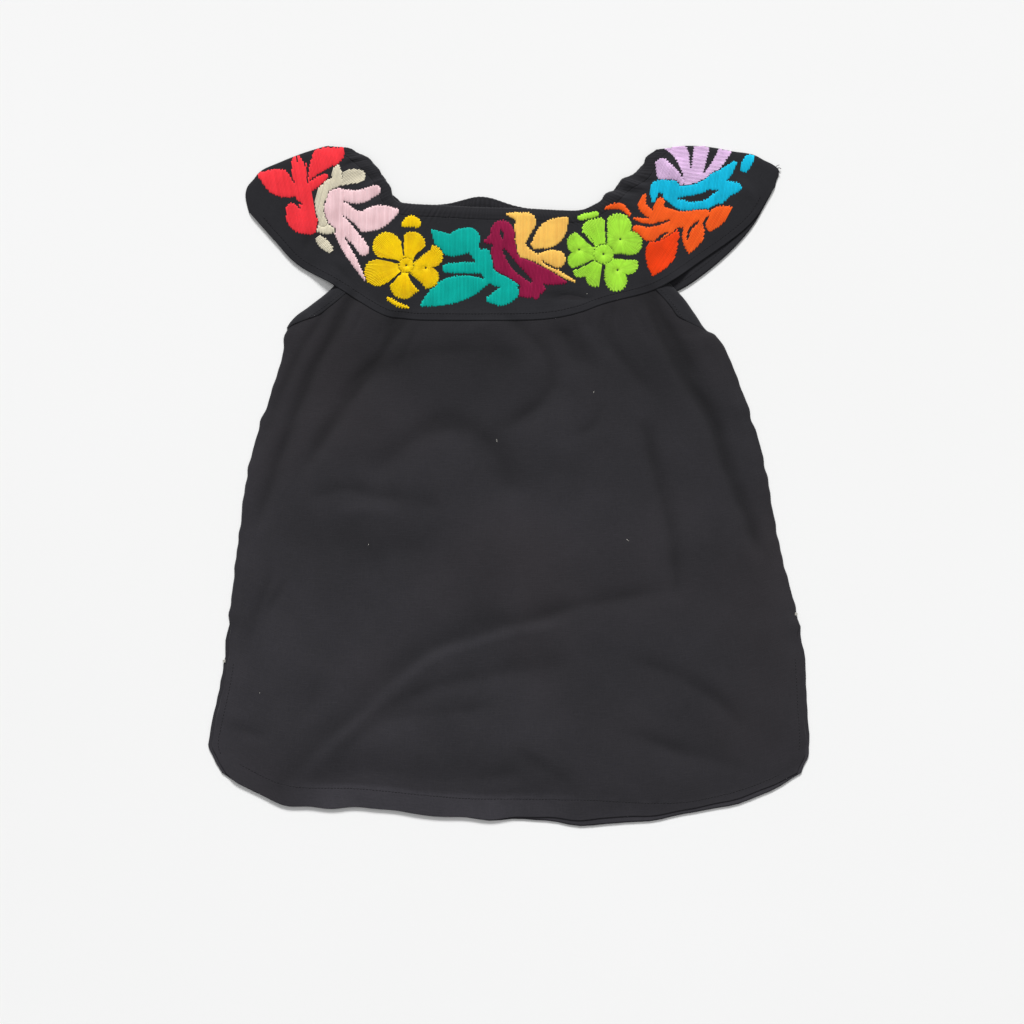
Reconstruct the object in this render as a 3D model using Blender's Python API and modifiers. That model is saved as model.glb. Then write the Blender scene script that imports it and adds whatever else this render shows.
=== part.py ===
# Off-shoulder peasant blouse, laid flat on its back on a table.
#
# Two A-line body panels with a shirt-tail hem hang from an elastic neck
# casing, and a wide flounce goes all round the neckline and over the arms.
# Tables are in millimetres, from the middle of the laid-out blouse: x runs
# to the right as seen from above, y towards the neck and z up. The
# underside of the back lies on z = 0.

from collections import namedtuple

import bpy
import numpy as np

MM = 0.001

# Driving sizes
CLOTH = 1.2
SEAM_GAP = 0.3
LAYER = CLOTH + SEAM_GAP
HEM_TURNING = 13.0
HEM_EXTRA = 0.5
CASING_WIDTH = 12.0
CASING_CROWN = 1.0
RIB_RISE = 0.4
FRONT_RIBS = 84
BACK_RIBS = 56
FLOUNCE_COLUMNS = 56
BAND_WIDTH = 16.0
BAND_WALL = 1.0
BAND_LIFT = 0.4
SLIT_TOP = -126.0
SLIT_INSET = 4.0
SLIT_OVER = 30.0

# Each panel lies on the back of the flounce, and comes down to what is under
# it from this far below the flounce's edge, over this length
BACK_DROP_FROM = 16.0
BACK_DROP_OVER = 40.0
FRONT_DROP_FROM = 40.0
FRONT_DROP_OVER = 50.0

# The front panel stands up from the back one, less at its seams and hem, and
# is pressed flat under the flounce from this far above its edge
BODY_PUFF = 3.8
SEAM_PUFF = 0.25
HEM_PUFF = 0.4
PUFF_FROM_SEAM = 30.0
PUFF_FROM_HEM = 90.0
PRESSED_SEAM = 12.0
PRESSED_ABOVE = 24.0
PRESSED_OVER = 36.0
LOWEST = 0.25
ROUNDING = 0.8

# A fold dies away over this length at its ends, with this roundness across,
# and is this share as high at a seam or the hem. Points as far as MIDDLE from
# them are in the middle of the panel.
FOLD_FADE = 40.0
FOLD_ROUNDNESS = 1.5
FOLD_AT_EDGE = 0.4
MIDDLE = 200.0

# The front flounce: its height above the layers at the arms and the body
ARM_LIFT = 0.3
ARM_PUFF = 1.9
BODY_CLEARANCE = 0.6
BODY_LIFT = 1.2
FOLD_SHARE = 0.07
WING_FROM = 4.0
WING_OVER = 40.0

# The back of the neckline shows a little above the front in the middle
BACK_PEEK = 11.0
BACK_PEEK_AT = -27.0
BACK_PEEK_WIDTH = 28.0

# Shares of the casing's length between which the body panels are sewn on
BODY_FROM = 0.26
BODY_TO = 0.71

# Shares of a panel's length where it starts, a seam gap below the casing,
# and between which the armhole bands lie
FLOUNCE_START = 0.006
BODY_START = 0.001
BAND_FROM = 0.12
BAND_TO = 0.262

# Points of a seam or an edge, in order along it
Point = namedtuple("Point", "x y")

# Body panel: the left edge from under the flounce round the armhole, down the
# side seam and the slit to the middle of the rounded hem corner
LEFT_EDGE = [
    Point(-147, 231),
    Point(-174, 199),
    Point(-197, 180),
    Point(-213, 168),
    Point(-222, 154),
    Point(-226, 130),
    Point(-236, 98),
    Point(-258, 26),
    Point(-269, -46),
    Point(-278, -118),
    Point(-287, -190),
    Point(-297, -238),
    Point(-300, -262),
    Point(-287, -286),
]
RIGHT_EDGE = [
    Point(129, 230),
    Point(168, 193),
    Point(184, 172),
    Point(195, 156),
    Point(207, 150),
    Point(216, 136),
    Point(231, 98),
    Point(248, 50),
    Point(259, 2),
    Point(267, -46),
    Point(278, -94),
    Point(288, -130),
    Point(295, -166),
    Point(298, -214),
    Point(300, -260),
    Point(292, -286),
]
FRONT_HEM = [
    Point(-287, -286),
    Point(-269, -299),
    Point(-221, -319),
    Point(-149, -322),
    Point(-53, -331),
    Point(11, -332),
    Point(79, -333),
    Point(121, -331),
    Point(175, -324),
    Point(223, -314),
    Point(259, -302),
    Point(292, -286),
]
BACK_HEM = [
    Point(-287, -286),
    Point(-250, -308),
    Point(-221, -317),
    Point(-149, -321),
    Point(-53, -331),
    Point(11, -334),
    Point(79, -339),
    Point(121, -337),
    Point(175, -328),
    Point(223, -319),
    Point(259, -306),
    Point(292, -286),
]

# Neckline, from the left shoulder fold to the right one
NECKLINE = [
    Point(-164, 338),
    Point(-149, 332),
    Point(-137, 323),
    Point(-125, 309),
    Point(-120, 297),
    Point(-114, 287),
    Point(-103, 282),
    Point(-69, 280),
    Point(-29, 278),
    Point(11, 277),
    Point(51, 275),
    Point(70, 275),
    Point(82, 279),
    Point(97, 289),
    Point(114, 305),
    Point(130, 315),
    Point(137, 327),
    Point(147, 336),
]

# Lower edges of the flounce, from the left shoulder fold to the right one
FRONT_FLOUNCE_HEM = [
    Point(-259, 273),
    Point(-234, 245),
    Point(-211, 221),
    Point(-174, 200),
    Point(-129, 172),
    Point(-105, 167),
    Point(-79, 165),
    Point(6, 165),
    Point(43, 167),
    Point(71, 173),
    Point(96, 182),
    Point(148, 197),
    Point(192, 225),
    Point(240, 261),
    Point(265, 298),
]
BACK_FLOUNCE_HEM = [
    Point(-258, 273),
    Point(-231, 248),
    Point(-208, 225),
    Point(-174, 206),
    Point(-129, 178),
    Point(-79, 170),
    Point(6, 169),
    Point(71, 172),
    Point(123, 179),
    Point(167, 194),
    Point(194, 211),
    Point(222, 235),
    Point(243, 259),
    Point(259, 282),
    Point(266, 299),
]

# Shoulder folds, from the casing out to the lower edge
LEFT_FOLD = [
    Point(-180, 339.4),
    Point(-187, 338),
    Point(-209, 331),
    Point(-229, 323),
    Point(-247, 315),
    Point(-255, 306),
    Point(-261, 299),
    Point(-263, 290),
    Point(-261, 280),
    Point(-259, 273),
]
RIGHT_FOLD = [
    Point(163, 338),
    Point(179, 339.5),
    Point(202, 338),
    Point(223, 334),
    Point(243, 331),
    Point(255, 325),
    Point(265, 320),
    Point(270, 314),
    Point(267, 306),
    Point(265, 298),
]

# A fold is a soft trough through four points, or a ridge if it is positive. It
# dies away over one width on the side towards the neck and another below it.
Fold = namedtuple("Fold", "x0 y0 x1 y1 x2 y2 x3 y3 above below rise")
BODY_FOLDS = [
    Fold(-172, 196, -204, 141, -224, 101, -249, 30, 8, 8, -2.0),
    Fold(-151, 192, -179, 136, -219, 46, -256, -66, 9, 10, -2.4),
    Fold(-106, 174, -135, 125, -163, 82, -211, 4, 11, 16, -2.8),
    Fold(-150, 104, -89, 131, -20, 134, 34, 118, 15, 28, -2.8),
    Fold(2, 170, 36, 120, 36, 91, -18, 48, 9, 10, -2.8),
    Fold(30, 166, 55, 148, 75, 130, 97, 108, 10, 10, -2.4),
    Fold(86, 164, 110, 132, 128, 108, 150, 78, 9, 9, -2.2),
    Fold(138, 196, 170, 113, 208, 42, 252, -84, 12, 10, -4.6),
    Fold(153, 184, 168, 146, 182, 118, 198, 88, 7, 7, -1.8),
    Fold(129, 72, 150, 6, 163, -54, 169, -118, 10, 9, -2.8),
    Fold(-146, 4, -90, 47, -36, 54, 20, -18, 13, 16, -2.8),
    Fold(-210, -20, -165, -4, -130, -12, -82, -13, 10, 9, -2.2),
    Fold(-238, -52, -175, -60, -125, -62, -66, -58, 26, 24, -1.6),
    Fold(-246, -312, -166, -231, -70, -162, 60, -126, 20, 13, -3.4),
    Fold(20, -134, 81, -119, 121, -110, 172, -102, 13, 12, -2.0),
    Fold(-186, -288, -111, -220, -29, -187, 70, -166, 15, 14, -2.6),
    Fold(-142, -229, -100, -231, -60, -228, -6, -215, 9, 12, -1.6),
    Fold(-228, -292, -144, -287, -69, -290, 34, -289, 20, 11, -1.8),
    Fold(-4, -260, 30, -280, 55, -296, 90, -318, 13, 10, -2.0),
    Fold(80, -174, 136, -182, 186, -209, 242, -260, 10, 10, -2.0),
    Fold(108, -244, 171, -266, 211, -274, 258, -287, 11, 10, -2.0),
    Fold(-237, -74, -246, -110, -252, -135, -260, -172, 7, 8, -1.8),
    Fold(-180, -180, -197, -212, -205, -228, -219, -258, 12, 12, -1.2),
]
FLOUNCE_FOLDS = [
    Fold(-184, 262, -190, 250, -197, 238, -203, 226, 8, 8, 2.2),
    Fold(-176, 214, -156, 205, -134, 190, -100, 178, 8, 8, 2.0),
    Fold(20, 192, 47, 188, 75, 184, 99, 190, 8, 8, 1.8),
    Fold(94, 298, 104, 290, 118, 280, 134, 268, 8, 8, 2.6),
    Fold(112, 312, 122, 306, 134, 298, 146, 290, 7, 7, 2.0),
    Fold(-134, 322, -146, 318, -160, 314, -172, 310, 7, 7, 2.2),
    Fold(-122, 304, -136, 300, -150, 297, -166, 294, 6, 6, 1.8),
    Fold(-114, 288, -128, 280, -142, 272, -152, 262, 6, 6, 1.6),
    Fold(144, 330, 158, 322, 170, 314, 180, 304, 7, 7, 1.8),
    Fold(216, 312, 232, 302, 244, 290, 250, 276, 8, 8, 1.6),
]


def smooth(share):
    """An S-curve from 0 to 1."""
    share = np.clip(share, 0, 1)
    return share * share * (3 - 2 * share)


def through(points, share, steps=12):
    """Points at these shares of the length of a smooth line through points."""
    knots = np.array(points, float)
    knots = np.vstack([2 * knots[0] - knots[1], knots, 2 * knots[-1] - knots[-2]])
    t = np.linspace(0, 1, steps, endpoint=False)[:, None]
    line = []
    for before, start, end, after in zip(knots, knots[1:], knots[2:], knots[3:]):
        bend = 2 * before - 5 * start + 4 * end - after
        twist = 3 * start - before - 3 * end + after
        line.append(start + 0.5 * t * (end - before + t * (bend + t * twist)))
    line = np.vstack(line + [knots[-2:-1]])
    length = np.concatenate([[0], np.cumsum(np.linalg.norm(np.diff(line, axis=0), axis=1))])
    at = np.asarray(share) * length[-1]
    return np.stack([np.interp(at, length, line[:, k]) for k in (0, 1)], axis=-1)


def panel(top, bottom, left, right, across, down):
    """Points of a panel between its four edges, at shares across and down."""
    u = np.asarray(across)[..., None]
    v = np.asarray(down)[..., None]
    between_ends = (1 - v) * through(top, across) + v * through(bottom, across)
    between_sides = (1 - u) * through(left, down) + u * through(right, down)
    corners = (1 - u) * ((1 - v) * np.array(left[0]) + v * np.array(left[-1]))
    corners += u * ((1 - v) * np.array(right[0]) + v * np.array(right[-1]))
    return between_ends + between_sides - corners


def distance_to(x, y, line):
    """Distance to a line of points, the share along it and how far above it."""
    nearest = np.full(np.shape(x), np.inf)
    along = np.zeros(np.shape(x))
    above = np.zeros(np.shape(x))
    for i, (start, end) in enumerate(zip(line, line[1:])):
        step = end - start
        share = ((x - start[0]) * step[0] + (y - start[1]) * step[1]) / (step @ step)
        share = np.clip(share, 0, 1)
        up = y - start[1] - share * step[1]
        far = np.hypot(x - start[0] - share * step[0], up)
        nearer = far < nearest
        along = np.where(nearer, (i + share) / (len(line) - 1), along)
        above = np.where(nearer, up, above)
        nearest = np.minimum(nearest, far)
    return nearest, along, above


def fold_height(x, y, folds):
    """Height that the folds add to a cloth at x, y."""
    total = np.zeros(np.shape(x))
    for fold in folds:
        points = np.array(fold[:8]).reshape(4, 2)
        line = through(points, np.linspace(0, 1, 13))
        length = np.linalg.norm(np.diff(line, axis=0), axis=1).sum()
        far, along, up = distance_to(x, y, line)
        from_end = np.minimum(along, 1 - along) * length
        fading = smooth(from_end / min(FOLD_FADE, length / 2))
        above = 0.5 + 0.5 * up / np.maximum(far, 1e-6)
        width = fold.below + (fold.above - fold.below) * above
        total += fold.rise * fading * np.exp(-((far / width) ** FOLD_ROUNDNESS))
    return total


def below_flounce(x, y, hem):
    """Distance from x, y up to the flounce's lower edge, negative above it."""
    edge = through(hem, np.linspace(0, 1, 80))
    return np.interp(x, edge[:, 0], edge[:, 1]) - y


def body_back_height(x, y):
    """The back panel lies on the flounce's back, then comes down to the table."""
    below = below_flounce(x, y, BACK_FLOUNCE_HEM)
    return LAYER * (1 - smooth((below - BACK_DROP_FROM) / BACK_DROP_OVER))


def body_front_rise(x, y, from_seam, from_hem):
    """Height of the front panel over flat: a puff with folds in it, never below flat."""
    free = smooth((below_flounce(x, y, FRONT_FLOUNCE_HEM) + PRESSED_ABOVE) / PRESSED_OVER)
    at_hem = HEM_PUFF + (1 - HEM_PUFF) * smooth(from_hem / PUFF_FROM_HEM)
    puff = smooth(from_seam / PUFF_FROM_SEAM) * at_hem
    total = free * BODY_PUFF * (SEAM_PUFF + (1 - SEAM_PUFF) * puff)
    total += free * fold_height(x, y, BODY_FOLDS) * (FOLD_AT_EDGE + (1 - FOLD_AT_EDGE) * puff)
    above = total - LOWEST
    return LOWEST + (above + np.hypot(above, ROUNDING)) / 2


def body_front_height(x, y, from_seam=MIDDLE, from_hem=MIDDLE):
    """The front panel lies on the back one, raised where it puffs."""
    below = below_flounce(x, y, BACK_FLOUNCE_HEM)
    rest = LAYER * (2 - smooth((below - FRONT_DROP_FROM) / FRONT_DROP_OVER))
    near_seam = smooth(np.asarray(from_seam) / PRESSED_SEAM)
    return rest + body_front_rise(x, y, from_seam, from_hem) * near_seam


def neckline(across, back):
    """The neckline's edge from the left shoulder to the right one."""
    xy = through(NECKLINE, across)
    if back:
        off_peak = (xy[..., 0] - BACK_PEEK_AT) / BACK_PEEK_WIDTH
        xy[..., 1] += BACK_PEEK * np.exp(-(off_peak**2))
    return xy


def casing_edge(across, back):
    """The casing's lower edge, where the flounce and the panels are sewn on."""
    along = neckline(np.minimum(across + 0.004, 1), back)
    along -= neckline(np.maximum(across - 0.004, 0), back)
    along /= np.linalg.norm(along, axis=-1, keepdims=True)
    inward = np.stack([along[..., 1], -along[..., 0]], axis=-1)
    at_left = np.subtract(LEFT_FOLD[0], NECKLINE[0])
    at_right = np.subtract(RIGHT_FOLD[0], NECKLINE[-1])
    at_end = np.where(across[..., None] < 0.5, at_left, at_right)
    free = smooth(np.minimum(across, 1 - across) / FOLD_SHARE)[..., None]
    return neckline(across, back) + free * CASING_WIDTH * inward + (1 - free) * at_end


def flounce_point(across, down, back):
    """A point of the flounce, from its casing (0) down to its edge (1)."""
    top = casing_edge(np.linspace(0, 1, FLOUNCE_COLUMNS + 1), back)
    hem = BACK_FLOUNCE_HEM if back else FRONT_FLOUNCE_HEM
    xy = panel(top, hem, LEFT_FOLD, RIGHT_FOLD, across, down)
    return xy[..., 0], xy[..., 1]


def body_point(across, down, back):
    """A point of a body panel, from the casing (0) down to the hem (1).

    Past the slits the front is a little narrower than the back.
    """
    x, y = flounce_point(np.linspace(BODY_FROM, BODY_TO, 20), np.zeros(20), back)
    top = np.stack([x, y], axis=-1)
    hem = BACK_HEM if back else FRONT_HEM
    left = [top[0], *LEFT_EDGE]
    right = [top[-1], *RIGHT_EDGE]
    xy = panel(top, hem, left, right, across, down)
    if not back:
        open_slit = smooth((SLIT_TOP - xy[..., 1]) / SLIT_OVER)
        xy[..., 0] -= SLIT_INSET * open_slit * (2 * np.asarray(across) - 1) ** 3
    return xy[..., 0], xy[..., 1]


def body_seam_distance(across, down, back):
    """Distance from a point of a body panel to its nearer side."""
    left, _ = body_point(np.zeros_like(across), down, back)
    right, _ = body_point(np.ones_like(across), down, back)
    return np.minimum(across, 1 - across) * (right - left)


def over_body(x, y):
    """1 over the body panels, falling to 0 outside their armholes."""
    left = through(LEFT_EDGE, np.linspace(0, 0.3, 20))
    right = through(RIGHT_EDGE, np.linspace(0, 0.3, 20))
    outside_left = np.interp(-y, -left[:, 1], left[:, 0]) - x
    outside_right = x - np.interp(-y, -right[:, 1], right[:, 0])
    return 1 - smooth((np.maximum(outside_left, outside_right) - WING_FROM) / WING_OVER)


def front_flounce_height(x, y, across, down):
    """The front flounce: low at the arms, over all layers at the body."""
    from_fold = smooth(np.minimum(across, 1 - across) / FOLD_SHARE)
    at_arms = LAYER + from_fold * (ARM_LIFT + ARM_PUFF * (1 - down) ** 1.5)
    at_body = body_front_height(x, y) + LAYER + BODY_CLEARANCE
    at_body += BODY_LIFT * smooth(down * 2.2)
    share = over_body(x, y)
    waves = np.maximum(fold_height(x, y, FLOUNCE_FOLDS), 0) * from_fold
    return (1 - share) * at_arms + share * at_body + waves


def cloth_wall(edge_distance):
    """Thickness of a wall, more where its edge is turned under for a hem."""
    return CLOTH + HEM_EXTRA * smooth((HEM_TURNING - edge_distance) / 2)


def fabric(name, colour, roughness):
    material = bpy.data.materials.new(name)
    material.use_nodes = True
    surface = material.node_tree.nodes["Principled BSDF"]
    surface.inputs["Base Color"].default_value = (*colour, 1)
    surface.inputs["Roughness"].default_value = roughness
    surface.inputs["Metallic"].default_value = 0
    return material


def sheet(name, material, columns, rows, place, wall):
    """A grid whose points place(u, v) sets, given its wall by Solidify.

    u and v run from 0 to 1 across and down the piece. place gives x, y and
    the height of the plain underside, and wall the thickness above it.
    """
    bpy.ops.mesh.primitive_grid_add(x_subdivisions=columns, y_subdivisions=rows, size=2)
    piece = bpy.context.active_object
    piece.name = piece.data.name = name
    points = np.empty(len(piece.data.vertices) * 3)
    piece.data.vertices.foreach_get("co", points)
    points = points.reshape(-1, 3)
    u = (points[:, 0] + 1) / 2
    v = (1 - points[:, 1]) / 2
    x, y, z = place(u, v)
    thickness = wall(u, v, x, y)
    most = float(thickness.max())
    piece.data.vertices.foreach_set("co", (np.stack([x, y, z], axis=1) * MM).ravel())
    weights = piece.vertex_groups.new(name="wall")
    for index, share in enumerate(thickness / most):
        weights.add([index], float(share), "REPLACE")
    solidify = piece.modifiers.new("cloth wall", "SOLIDIFY")
    solidify.thickness = most * MM
    solidify.offset = 1
    solidify.vertex_group = weights.name
    piece.data.shade_smooth()
    piece.data.materials.append(material)
    return piece


def body_back(material):
    def place(u, v):
        x, y = body_point(u, BODY_START + (1 - BODY_START) * v, True)
        return x, y, body_back_height(x, y)

    def wall(u, v, x, y):
        return np.full_like(u, CLOTH)

    return sheet("body_back", material, 18, 28, place, wall)


def body_front(material):
    def place(u, v):
        down = BODY_START + (1 - BODY_START) * v
        x, y = body_point(u, down, False)
        hem = through(FRONT_HEM, u)
        from_seam = body_seam_distance(u, down, False)
        return x, y, body_front_height(x, y, from_seam, y - hem[:, 1])

    def wall(u, v, x, y):
        hem = through(FRONT_HEM, u)
        return cloth_wall(y - hem[:, 1])

    return sheet("body_front", material, 44, 50, place, wall)


def armhole_band(material, name, right):
    """A narrow band along the front armhole, on top of the front panel."""

    def place(u, v):
        down = BAND_FROM + v * (BAND_TO - BAND_FROM)
        edge_x, _ = body_point(np.full_like(u, float(right)), down, False)
        other_x, _ = body_point(np.full_like(u, float(not right)), down, False)
        share = BAND_WIDTH / np.abs(edge_x - other_x)
        across = 1 - share * (1 - u) if right else share * u
        x, y = body_point(across, down, False)
        from_seam = body_seam_distance(across, down, False)
        return x, y, body_front_height(x, y, from_seam) + LAYER + BAND_LIFT

    def wall(u, v, x, y):
        return np.full_like(u, BAND_WALL)

    return sheet(name, material, 3, 14, place, wall)


def flounce_back(material):
    def place(u, v):
        x, y = flounce_point(u, FLOUNCE_START + (1 - FLOUNCE_START) * v, True)
        return x, y, np.zeros_like(x)

    def wall(u, v, x, y):
        return np.full_like(u, CLOTH)

    return sheet("flounce_back", material, FLOUNCE_COLUMNS, 4, place, wall)


def flounce_front(material):
    def place(u, v):
        down = FLOUNCE_START + (1 - FLOUNCE_START) * v
        x, y = flounce_point(u, down, False)
        return x, y, front_flounce_height(x, y, u, down)

    def wall(u, v, x, y):
        return np.full_like(u, CLOTH)

    return sheet("flounce_front", material, FLOUNCE_COLUMNS, 10, place, wall)


def neck_casing(material, name, back, under, ribs):
    """Elastic casing along the neckline, drawn up into even ribs."""

    def place(u, v):
        # The lower edge keeps to the straight steps of the flounce's edge
        first = np.minimum(np.floor(u * FLOUNCE_COLUMNS + 1e-6), FLOUNCE_COLUMNS - 1)
        share = u * FLOUNCE_COLUMNS - first
        zero = np.zeros_like(u)
        start_x, start_y = flounce_point(first / FLOUNCE_COLUMNS, zero, back)
        end_x, end_y = flounce_point((first + 1) / FLOUNCE_COLUMNS, zero, back)
        edge = neckline(u, back)
        x = (1 - v) * edge[:, 0] + v * ((1 - share) * start_x + share * end_x)
        y = (1 - v) * edge[:, 1] + v * ((1 - share) * start_y + share * end_y)
        return x, y, np.full_like(x, under)

    def wall(u, v, x, y):
        rib = RIB_RISE * (0.5 + 0.5 * np.cos(2 * np.pi * ribs * u))
        return CLOTH + (CASING_CROWN + rib) * np.sin(np.pi * v)

    return sheet(name, material, 2 * ribs, 2, place, wall)


def main():
    for old in list(bpy.data.objects):
        bpy.data.objects.remove(old, do_unlink=True)
    blouse = bpy.data.collections.new("peasant_blouse")
    bpy.context.scene.collection.children.link(blouse)
    cotton = fabric("black_cotton", (0.022, 0.021, 0.024), 0.92)
    flounce_cotton = fabric("black_flounce_cotton", (0.022, 0.021, 0.024), 0.92)
    gathered = fabric("black_gathered_casing", (0.02, 0.019, 0.022), 0.95)
    pieces = [
        body_back(cotton),
        body_front(cotton),
        armhole_band(cotton, "armhole_band_left", False),
        armhole_band(cotton, "armhole_band_right", True),
        flounce_back(flounce_cotton),
        flounce_front(flounce_cotton),
        neck_casing(gathered, "neck_casing_back", True, 0.0, BACK_RIBS),
        neck_casing(gathered, "neck_casing_front", False, 2 * LAYER, FRONT_RIBS),
    ]
    for piece in pieces:
        for owner in list(piece.users_collection):
            owner.objects.unlink(piece)
        blouse.objects.link(piece)


main()
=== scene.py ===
import math
from collections import namedtuple

import bpy
import numpy as np
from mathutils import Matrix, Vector
from mathutils.bvhtree import BVHTree


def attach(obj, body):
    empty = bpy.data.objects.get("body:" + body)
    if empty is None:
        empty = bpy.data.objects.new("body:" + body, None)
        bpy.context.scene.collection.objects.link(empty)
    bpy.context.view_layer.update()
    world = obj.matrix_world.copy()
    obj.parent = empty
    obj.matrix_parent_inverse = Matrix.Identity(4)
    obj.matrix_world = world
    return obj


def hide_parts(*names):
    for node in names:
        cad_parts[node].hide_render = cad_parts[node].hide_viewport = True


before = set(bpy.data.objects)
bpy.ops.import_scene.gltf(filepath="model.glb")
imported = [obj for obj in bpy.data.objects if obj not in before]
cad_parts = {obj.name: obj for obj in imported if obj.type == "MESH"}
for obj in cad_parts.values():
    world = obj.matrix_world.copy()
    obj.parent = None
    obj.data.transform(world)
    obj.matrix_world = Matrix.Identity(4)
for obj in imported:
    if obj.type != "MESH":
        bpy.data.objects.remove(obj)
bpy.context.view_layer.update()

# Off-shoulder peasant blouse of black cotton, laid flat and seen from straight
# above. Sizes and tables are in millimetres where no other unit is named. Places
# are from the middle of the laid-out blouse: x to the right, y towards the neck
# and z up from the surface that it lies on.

MM = 0.001

# Cloth, as the solids have it, with a shell for the wall
LAYER = 1.5
WALL = 0.9
BAND_WALL = 0.7
CASING_WALL = 0.8
CASING_WIDTH = 12.0
CASING_LENGTH = 420.0
CASING_CROWN = 0.5
RIB_RISE = 0.2
FRONT_RIBS = 118
BACK_RIBS = 84
BAND_WIDTH = 16.0
BAND_SINK = 0.25
BAND_PAST_SEAM = 1.1
SLIT_TOP = -126.0
SLIT_INSET = 4.0
SEAM_ROLL = 6.0
FOLD_ROLL = 7.0
LIP_ROLL = 4.0
LOWEST_SHELL = 0.05

# The cut cloth of each piece in metres, with its gathers let out
FRONT_CUT = (0.62, 0.57)
BACK_CUT = (0.62, 0.58)
BAND_CUT = (0.018, 0.1)
FLOUNCE_CUT = (0.86, 0.118)
CASING_CUT = (0.5, 0.014)

# A grid's lines crowd where its cloth turns: shares of the lines, then of the cloth
EVEN = ([0, 1], [0, 1])
FRONT_COLUMNS = ([0, 0.07, 0.93, 1], [0, 0.014, 0.986, 1])
BACK_COLUMNS = ([0, 0.15, 0.85, 1], [0, 0.03, 0.97, 1])
PANEL_ROWS = ([0, 0.8, 1], [0, 0.95, 1])
LEFT_BAND_COLUMNS = ([0, 0.35, 1], [0, 0.2, 1])
RIGHT_BAND_COLUMNS = ([0, 0.65, 1], [0, 0.8, 1])
FLOUNCE_COLUMNS = ([0, 0.05, 0.95, 1], [0, 0.012, 0.988, 1])
FRONT_FLOUNCE_ROWS = ([0, 0.12, 0.82, 1], [0, 0.08, 0.9, 1])
BACK_FLOUNCE_ROWS = ([0, 0.5, 1], [0, 0.8, 1])

# How the panels lie on what is under them
BACK_DROP_FROM = 16.0
BACK_DROP_OVER = 40.0
FRONT_DROP_FROM = 40.0
FRONT_DROP_OVER = 50.0
PRESSED_ABOVE = 24.0
PRESSED_OVER = 36.0
BODY_PUFF = 3.8
SEAM_PUFF = 0.25
HEM_PUFF = 0.1
PUFF_FROM_SEAM = 30.0
PUFF_FROM_HEM = 90.0
FOLD_AT_EDGE = 0.4
FOLD_FADE = 40.0
FOLD_ROUNDNESS = 1.5
FOLD_WANDER = 1.6
FOLD_UNEVENNESS = 0.22
LOWEST_RISE = 0.25
ROUNDING = 0.8
FAR_FROM_EDGE = 200.0
ARM_LIFT = 0.3
ARM_PUFF = 1.9
BODY_CLEARANCE = 0.3
BODY_LIFT = 0.9
FOLD_SHARE = 0.07
WING_FROM = 4.0
WING_OVER = 40.0

# The back of the neckline shows a little above the front in the middle
BACK_PEEK = 11.0
BACK_PEEK_AT = -27.0
BACK_PEEK_WIDTH = 28.0
NECK_MIDDLE = -8.0

# Shares of the casing's length and of a panel's depth
BODY_FROM = 0.26
BODY_TO = 0.71
BAND_FROM = 0.12
BAND_TO = 0.262
SLIT_FROM = 0.815
SLIT_TO = 0.965

# Turned hems: the body's is wide on the left and narrow on the right
WIDE_HEM = 22.0
NARROW_HEM = 10.0
SLIT_HEM = 8.0
FLOUNCE_HEM = 9.0
HEM_STEP = 0.7
HEM_CURL = 0.5
SIDE_CRINKLE = 0.3
HEM_PUCKERS = 0.16
RIGHT_PUCKERS = 0.3
SIDE_WAVES = 0.9
HEM_WAVES = 1.3

# Of a turned hem's step, this share shows on the side that it isn't turned to
FRONT_STEP_SHARE = 0.1
BACK_STEP_SHARE = 0.4

# How the flounce and the front slope down to their edges: from how far in, how
# far the flounce's edge sinks into the front, how high the front's hem lies, and
# what the front's left side adds
FLOUNCE_SLOPE = 26.0
FLOUNCE_SINK = 0.55
HEM_SLOPE = 36.0
LEFT_HEM_SLOPE = 34.0
HEM_HEIGHT = 1.0
LEFT_HEM_HEIGHT = 0.5

# Gathers of the flounce, each of them uneven in width and height
GATHERS = 90
FINE_GATHERS = 0.2
BROAD_GATHERS = 0.6
BROAD_PERIOD = 4.3

# Rows of stitches across the casing, as shares of its width
CASING_ROWS = (0.22, 0.72)
CASING_ROW_WIDTH = 0.06
SCALLOPS = 1.6
BACK_RIBS_HIGHER = 2.2

# Satin stitch: spacing of the threads and their height over the cloth
THREAD_PITCH = 1.35
FAN_PITCH = 1.9
THREAD_RISE = 0.38
THREAD_PADDING = 0.45
THREAD_SUNK = 0.2
MOTIF_GAP = 0.7
THREAD_END = 0.8
SHORTEST_THREAD = 1.6
STIFFENED_ROUND = 7.0

# A thread's half width, as a share of the spacing. A fan's threads widen from
# their start to their end, within limits in millimetres.
THREAD_HALF = 0.58
FAN_HALF = (0.6, 0.48)
FAN_HALF_LIMITS = (0.28, 0.95)
FAN_START = 1.2

# Sewing stitches: how far apart, how long and how wide to each side
Stitch = namedtuple("Stitch", "pitch length half")
HEM_STITCH = Stitch(3.2, 2.4, 0.3)
BAND_STITCH = Stitch(3.0, 2.2, 0.28)
STITCH_RISE = 0.25
STITCH_PADDING = 0.18
STITCH_FROM_EDGE = 2.0
HEM_STITCH_FROM_EDGE = 2.5
BAND_STITCH_FROM_EDGE = 2.2

# Threads are laid by rays from this height, but not on cloth whose normal points
# up by less than this
RAY_FROM = 100.0
STEEPEST = 0.15

# A thread lies on the cloth with five points round it: shares of its half width
# and of its height, where None is sunk into the cloth
LYING_THREAD = ((1, None), (0.8, 0.62), (0, 1), (-0.8, 0.62), (-1, None))
RING = len(LYING_THREAD)

# Patterns of the cloth and the thread
YARNS_TO_A_METRE = 900
SLUBS_TO_A_METRE = 70
STRANDS_TO_A_METRE = 2400
STRAND_ENDS_TO_A_METRE = 220

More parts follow.
